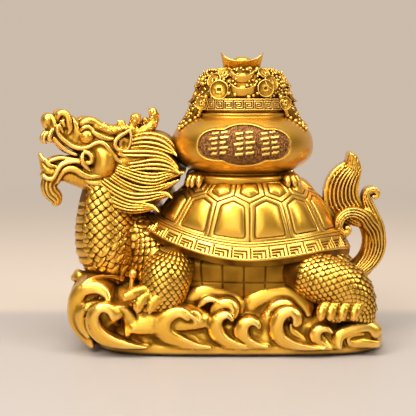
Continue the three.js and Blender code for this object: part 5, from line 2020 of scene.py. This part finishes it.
# Rings of an ingot as shares of its length: half sizes, height, lift of the ends, and their relief
INGOT_RINGS = (
    (0.36, 0.13, 0.0, 0.0, -0.6),
    (0.395, 0.17, 0.0, 0.0, -0.4),
    (0.42, 0.2, 0.05, 0.02, 0.1),
    (0.45, 0.23, 0.14, 0.07, 0.0),
    (0.485, 0.26, 0.215, 0.17, 0.3),
    (0.5, 0.268, 0.235, 0.2, 0.7),
    (0.485, 0.25, 0.24, 0.2, 0.5),
    (0.44, 0.225, 0.225, 0.14, -0.2),
    (0.33, 0.19, 0.2, 0.04, -0.8),
    (0.235, 0.17, 0.215, 0.0, -0.9),
    (0.2, 0.15, 0.27, 0.0, 0.2),
    (0.13, 0.10, 0.315, 0.0, 0.4),
    (0.05, 0.04, 0.33, 0.0, 0.4),
)


def ingot_form(long, sides=24):
    """A boat-shaped ingot on its keel at the origin, along X."""
    turns = TAU * np.arange(sides) / sides
    end = np.abs(np.cos(turns)) ** 3
    rings = []
    for a, b, h, lift, _ in INGOT_RINGS:
        rings.append(np.column_stack([a * np.cos(turns), b * np.sin(turns), h + lift * end]) * long)
    points, faces = capped(rings)
    marks = np.append(np.repeat([row[-1] for row in INGOT_RINGS], sides), (-0.6, 0.4))
    return points, faces, {"relief": marks}


def turned(points, out, up, spot):
    """Points whose Z goes to out and whose Y goes towards up, moved to a spot."""
    across, rise, facing = frames_on(np.array([out], float), np.array([up], float))[0]
    return points @ np.array([across, rise, facing]) + np.asarray(spot)


def gathered(parts):
    """Several forms as one."""
    points, marks, triangles, quads, first = [], [], [], [], 0
    for spots, faces, labels in parts:
        points.append(spots)
        marks.append(labels["relief"])
        for part in faces:
            (quads if part.shape[1] == 4 else triangles).append(part + first)
        first += len(spots)
    faces = [np.vstack(kind) for kind in (quads, triangles) if kind]
    return np.vstack(points), faces, {"relief": np.concatenate(marks)}


# Coins: x, z, size as a share of a coin's, how far they lean back and how far they turn aside
COINS = (
    (4.2, 187.5, 1.0, 0.1, 0.5), (0.8, 194.0, 0.8, 0.5, 0.2), (8.0, 199.0, 0.7, 0.8, 0.0),
    (37.0, 188.5, 0.9, 0.1, -0.4), (41.0, 192.5, 0.85, 0.5, 0.2), (36.0, 199.0, 0.7, 0.9, 0.2),
    (-8.0, 178.0, 0.7, 0.1, 1.0), (51.5, 178.0, 0.7, 0.1, -1.0),
)
# Upright ingots in the middle: x, z and length
MIDDLE_INGOTS = ((21.2, 182.5, 20.6), (20.6, 192.0, 18.3))
# Leaning ingots at the sides: x, y, z, length and turn
SIDE_INGOTS = (
    (-5.5, -11, 193, 14, 0.6), (-10.5, -9, 182.5, 14, 1.0), (48.5, -11, 193, 14, -0.6),
    (53.5, -9, 183, 14, -1.0), (-6, 10, 188, 12, 0.3), (49, 10, 188, 12, -0.3),
    (-12, 10, 179, 11, 1.4), (55, 10, 179, 11, -1.4),
)
TOP_INGOT_LONG = 32.0
TOP_INGOT_FOOT = (21.2, 0, 201.3)


def heap_pieces(sizes):
    """Coins and ingots on the heap. The coins and the middle ingots are the same at the back."""
    coin = sizes.coin / MM / 2
    made = []
    for x, z, scale, lean, side in COINS:
        reach = float(heap_radius(max(z, 182.0))) + (0.5 if z > 182 else 3.0)
        turn = math.asin(max(-0.98, min(0.98, (x - BOWL_X) / reach)))
        out = np.array([math.sin(turn + side * 0.4), -math.cos(turn + side * 0.4), lean])
        spots, faces, marks = coin_form(coin * scale)
        place = np.array([x, -reach * math.cos(turn) - 0.4, z])
        for face in ((1, 1, 1), (1, -1, 1)):
            made.append((turned(spots, out * face, (0, 0, 1), place * face), faces, marks))
    for x, z, long in MIDDLE_INGOTS:
        spots, faces, marks = ingot_form(long)
        reach = float(heap_radius(z)) - 4.5
        for y in (-reach, reach):
            made.append((spots * (1, 1, 1.25) + np.array([x, y, z]), faces, marks))
    for x, y, z, long, turn in SIDE_INGOTS:
        spots, faces, marks = ingot_form(long)
        out = np.array([x - BOWL_X, y, 14.0])
        up = np.cross(out, (math.cos(turn), 0, math.sin(turn)))
        made.append((turned(spots, out, up, (x, y, z)), faces, marks))
    spots, faces, marks = ingot_form(TOP_INGOT_LONG, sides=48)
    made.append((spots * (1, 1, 0.96) + np.array(TOP_INGOT_FOOT), faces, marks))
    return gathered(made)


# Rounds at the front of the heap where no pearl lies: x, z and radius
CLEAR_OF_PEARLS = (
    (4.2, 187.5, 7), (37, 188.5, 6.5), (14, 187, 3),
    (21, 186.5, 4.5), (28, 187, 3), (21, 195.5, 4.5),
)
PEARL_TRIES = 5200
PEARLS_STREWN = 620
SHARE_ON_TOP = 0.62  # the rest of the pearls lie on the two spills


def pearl_places(sizes):
    """Places and sizes of pearls strewn over the heap and strung along the edges of its spills."""
    rng = np.random.default_rng(sizes.seed)
    bead = sizes.bead / MM
    places, scales = [], []
    for _ in range(PEARL_TRIES):
        turn = rng.uniform(0, TAU)
        if rng.random() < SHARE_ON_TOP:
            z = 181.8 + 21 * rng.random() ** 0.8
            reach = float(heap_radius(z))
        else:
            t = rng.random()
            z, reach = spill_line(t)
            spread = SPILL_SPREAD - 0.42 * t
            turn = (0 if rng.random() < 0.5 else math.pi) + rng.uniform(-spread, spread)
        scale = rng.uniform(0.5, 0.9)
        x, y = BOWL_X + reach * math.cos(turn), reach * math.sin(turn)
        spot_here = np.array([x, y, z])
        if any((x - u) ** 2 + (z - w) ** 2 < r * r and y < 0 for u, w, r in CLEAR_OF_PEARLS):
            continue
        if places:
            gap = np.linalg.norm(np.array(places) - spot_here, axis=1)
            if (gap < 0.46 * bead * (np.array(scales) + scale)).any():
                continue
        places.append(spot_here)
        scales.append(scale)
        if len(places) >= PEARLS_STREWN:
            break
    for end in (0, math.pi):
        for side in (-1, 1):
            for t in np.arange(0, 1.0, 0.085):
                z = 182.5 - 24.5 * t**0.9
                reach = max(float(bowl_radius(z)), COLLAR_RADIUS) + 1.0
                turn = end + side * (0.78 - 0.44 * t)
                places.append(np.array([BOWL_X + reach * math.cos(turn), reach * math.sin(turn), z]))
                scales.append(0.94)
    return np.array(places), np.array(scales)


FOOT_TURN = 0.66
FOOT_SPOT = (39.5, 0, 124.5)


def claw_clay(cell):
    """One clawed foot of the bowl, drawn at the front left and set at four places."""
    clay = Clay((-14, -12, -14), (14, 12, 12), cell)
    clay.strand(((-5, 0, 2, 4), (0, 0, 0.5, 4), (3.5, 0, -1.5, 3.4)), blend=2, flat=1.5)
    for side, reach in ((-7, 6), (-2.5, 8.5), (2.5, 8.5), (7, 6)):
        bend = reach * 0.75, side * 0.85
        toe = ((1, side * 0.5, 1, 2.4), (*bend, 0, 2.4), (reach, side, -3, 2.1), (reach + 0.5, side, -6, 0.7))
        clay.strand(toe, blend=0.4)
        clay.ball((*bend, 0.4), (2.6, 2.4, 2.4), blend=0.3)
    return clay


class TURTLE_OT_bowl(bpy.types.Operator):
    """Turns the treasure bowl with its panel, collar and feet"""

    bl_idname = "turtle.bowl"
    bl_label = "Treasure bowl"

    def execute(self, context):
        sizes = context.scene.bowl_sizes
        keep(lay_mesh("bowl", *bowl_form(sizes.panel_relief / MM)), BOWL, antique_gold())
        keep(lay_mesh("collar", *collar_form(sizes.key_relief / MM)), BOWL, antique_gold())
        points, faces, marks = claw_clay(CLAW_CELL).surface()
        x, y, z = (points + FOOT_SPOT).T
        feet = []
        for turn in (FOOT_TURN, math.pi - FOOT_TURN, math.pi + FOOT_TURN, -FOOT_TURN):
            c, s = math.cos(turn), math.sin(turn)
            feet.append((np.column_stack([BOWL_X + x * c - y * s, x * s + y * c, z]), faces, marks))
        keep(lay_mesh("bowl_feet", *gathered(feet)), BOWL, antique_gold())
        return {"FINISHED"}


class TURTLE_OT_treasure(bpy.types.Operator):
    """Heaps pearls, coins and ingots in the bowl"""

    bl_idname = "turtle.treasure"
    bl_label = "Treasure"

    def execute(self, context):
        sizes = context.scene.bowl_sizes
        points, faces, _ = heap_core(HEAP_CELL).surface()
        dark = {"relief": np.full(len(points), HEAP_RELIEF)}
        keep(lay_mesh("heap", points, faces, dark), BOWL, antique_gold())
        keep(lay_mesh("coins_and_ingots", *heap_pieces(sizes)), BOWL, antique_gold())
        places, scales = pearl_places(sizes)
        frames = np.broadcast_to(np.eye(3), (len(places), 3, 3))
        sized = np.repeat(scales[:, None], 3, axis=1) * sizes.bead / 2
        set_on_points("pearls", ball_template(1.0), places, frames, sized, antique_gold(), BOWL)
        return {"FINISHED"}


# Studio

VIEW_CENTRE = Vector((-0.0037, 0.0, 0.0996))
FLOOR_RADIUS = 6000.0
FLOOR_SIDES = 96
# Lamps: place, width and height in metres, and power as a share of the key lamp's setting
LAMPS = {
    "key_lamp": ((-0.9, -1.1, 1.4), (0.8, 1.0), 1.1),
    "side_lamp": ((1.4, -0.9, 1.2), (0.4, 1.0), 0.5),
    "top_lamp": ((0.05, -0.5, 1.5), (1.3, 0.9), 0.8),
    "fill_lamp": ((-0.3, -1.6, 0.5), (1.2, 1.2), 0.3),
}


def area_lamp(name, place, size, power):
    lamp = bpy.data.lights.new(name, "AREA")
    lamp.shape = "RECTANGLE"
    lamp.size, lamp.size_y = size
    lamp.energy = power
    holder = bpy.data.objects.new(name, lamp)
    holder.location = place
    holder.rotation_mode = "QUATERNION"
    holder.rotation_quaternion = (VIEW_CENTRE - Vector(place)).to_track_quat("-Z", "Y")
    holder.visible_camera = False
    bpy.context.scene.collection.objects.link(holder)


def floor_finish(sizes):
    """A pale table top that gives way to the backdrop's colour behind the figure and far off."""
    finish = bpy.data.materials.new("Pale table")
    finish.use_nodes = True
    tree = finish.node_tree
    shader = tree.nodes["Principled BSDF"]
    shader.inputs["Roughness"].default_value = 0.5
    place = node_of(tree, "ShaderNodeTexCoord")
    parts = node_of(tree, "ShaderNodeSeparateXYZ")
    grain = node_of(tree, "ShaderNodeTexNoise")
    grain.inputs["Scale"].default_value = 40.0
    behind = node_of(tree, "ShaderNodeMapRange", interpolation_type="SMOOTHSTEP")
    for slot, value in zip(("From Min", "From Max"), (0.07, 0.11)):
        behind.inputs[slot].default_value = value
    mixed = node_of(tree, "ShaderNodeMix", data_type="RGBA")
    mixed.inputs[6].default_value = (*sizes.floor, 1)
    mixed.inputs[7].default_value = (*(0.92 * c for c in sizes.wall), 1)
    away = node_of(tree, "ShaderNodeVectorMath", operation="LENGTH")
    far = node_of(tree, "ShaderNodeMapRange", interpolation_type="SMOOTHSTEP")
    for slot, value in zip(("From Min", "From Max"), (0.35, 1.3)):
        far.inputs[slot].default_value = value
    glow = node_of(tree, "ShaderNodeEmission")
    glow.inputs["Color"].default_value = (*sizes.wall, 1)
    blend = node_of(tree, "ShaderNodeMixShader")
    bump = node_of(tree, "ShaderNodeBump")
    bump.inputs["Strength"].default_value = 0.02
    wire(
        tree,
        (place.outputs["Object"], parts.inputs[0]),
        (place.outputs["Object"], grain.inputs["Vector"]),
        (grain.outputs["Fac"], bump.inputs["Height"]),
        (bump.outputs[0], shader.inputs["Normal"]),
        (parts.outputs["Y"], behind.inputs["Value"]),
        (behind.outputs["Result"], mixed.inputs["Factor"]),
        (mixed.outputs[2], shader.inputs["Base Color"]),
        (place.outputs["Object"], away.inputs[0]),
        (away.outputs["Value"], far.inputs["Value"]),
        (far.outputs["Result"], blend.inputs[0]),
        (shader.outputs[0], blend.inputs[1]),
        (glow.outputs[0], blend.inputs[2]),
        (blend.outputs[0], tree.nodes["Material Output"].inputs["Surface"]),
    )
    return finish


class TURTLE_OT_studio(bpy.types.Operator):
    """Sets the camera, the lamps and the floor"""

    bl_idname = "turtle.studio"
    bl_label = "Studio"

    def execute(self, context):
        scene = context.scene
        sizes = scene.studio_sizes
        lens = bpy.data.cameras.new("camera")
        lens.lens, lens.sensor_width = sizes.lens, 36.0
        lens.clip_start, lens.clip_end = 0.05, 40.0
        camera = bpy.data.objects.new("camera", lens)
        back = Vector((0, -math.cos(sizes.elevation), math.sin(sizes.elevation)))
        camera.location = VIEW_CENTRE + back * sizes.distance
        camera.rotation_mode = "QUATERNION"
        camera.rotation_quaternion = (-back).to_track_quat("-Z", "Y")
        scene.collection.objects.link(camera)
        scene.camera = camera
        scene.view_settings.view_transform = "Standard"
        turns = TAU * np.arange(FLOOR_SIDES) / FLOOR_SIDES
        rim = np.column_stack([np.cos(turns), np.sin(turns), np.zeros(FLOOR_SIDES)]) * FLOOR_RADIUS
        points = np.vstack([rim, [(0, 0, 0)]])
        floor = lay_mesh("floor", points, [fan(np.arange(FLOOR_SIDES), FLOOR_SIDES)])
        floor.data.materials.append(floor_finish(sizes))
        floor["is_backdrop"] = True
        self.sky(scene, sizes)
        for name, (place, size, share) in LAMPS.items():
            area_lamp(name, place, size, sizes.key * share)
        return {"FINISHED"}

    def sky(self, scene, sizes):
        world = bpy.data.worlds.new("studio")
        world.use_nodes = True
        scene.world = world
        tree = world.node_tree
        back = tree.nodes["Background"]
        place = node_of(tree, "ShaderNodeTexCoord")
        parts = node_of(tree, "ShaderNodeSeparateXYZ")
        back.inputs["Strength"].default_value = sizes.sky
        wire(tree, (place.outputs["Generated"], parts.inputs[0]))
        colour = None
        layers = ("Y", (0.0, 0.6), sizes.front, sizes.wall), ("Z", (0.35, 0.95), None, sizes.above)
        for axis, reach, under, over in layers:
            share = node_of(tree, "ShaderNodeMapRange", interpolation_type="SMOOTHSTEP")
            for slot, value in zip(("From Min", "From Max"), reach):
                share.inputs[slot].default_value = value
            mixed = node_of(tree, "ShaderNodeMix", data_type="RGBA")
            mixed.inputs[7].default_value = (*over, 1)
            if under is None:
                wire(tree, (colour, mixed.inputs[6]))
            else:
                mixed.inputs[6].default_value = (*under, 1)
            wire(
                tree,
                (parts.outputs[axis], share.inputs["Value"]),
                (share.outputs["Result"], mixed.inputs["Factor"]),
            )
            colour = mixed.outputs[2]
        wire(tree, (colour, back.inputs["Color"]))


# Add-on

STEPS = (
    TURTLE_OT_studio,
    TURTLE_OT_wave_base,
    TURTLE_OT_body,
    TURTLE_OT_limbs,
    TURTLE_OT_shell,
    TURTLE_OT_head,
    TURTLE_OT_mane,
    TURTLE_OT_tail,
    TURTLE_OT_bowl,
    TURTLE_OT_treasure,
)


class TURTLE_PT_pieces(bpy.types.Panel):
    """Lists the pieces of the dragon turtle and their sizes"""

    bl_idname = "TURTLE_PT_pieces"
    bl_label = "Dragon Turtle"
    bl_space_type = "VIEW_3D"
    bl_region_type = "UI"
    bl_category = "Dragon Turtle"

    def draw(self, context):
        for step in STEPS:
            self.layout.operator(step.bl_idname)
        for name, group in GROUPS.items():
            box = self.layout.box()
            box.label(text=group.__doc__)
            for key in group.__annotations__:
                box.prop(getattr(context.scene, name), key)


CLASSES = (*GROUPS.values(), *STEPS, TURTLE_PT_pieces)


def register():
    for one in CLASSES:
        bpy.utils.register_class(one)
    for name, group in GROUPS.items():
        setattr(bpy.types.Scene, name, PointerProperty(type=group))


def unregister():
    for name in GROUPS:
        delattr(bpy.types.Scene, name)
    for one in reversed(CLASSES):
        bpy.utils.unregister_class(one)


def main():
    register()
    for step in STEPS:
        group, name = step.bl_idname.split(".")
        getattr(getattr(bpy.ops, group), name)()
    boxes = {"cad": CAD_BOX, "visual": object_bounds()}
    boxes = {name: [list(corner) for corner in box] for name, box in boxes.items()}


if __name__ == "__main__":
    main()
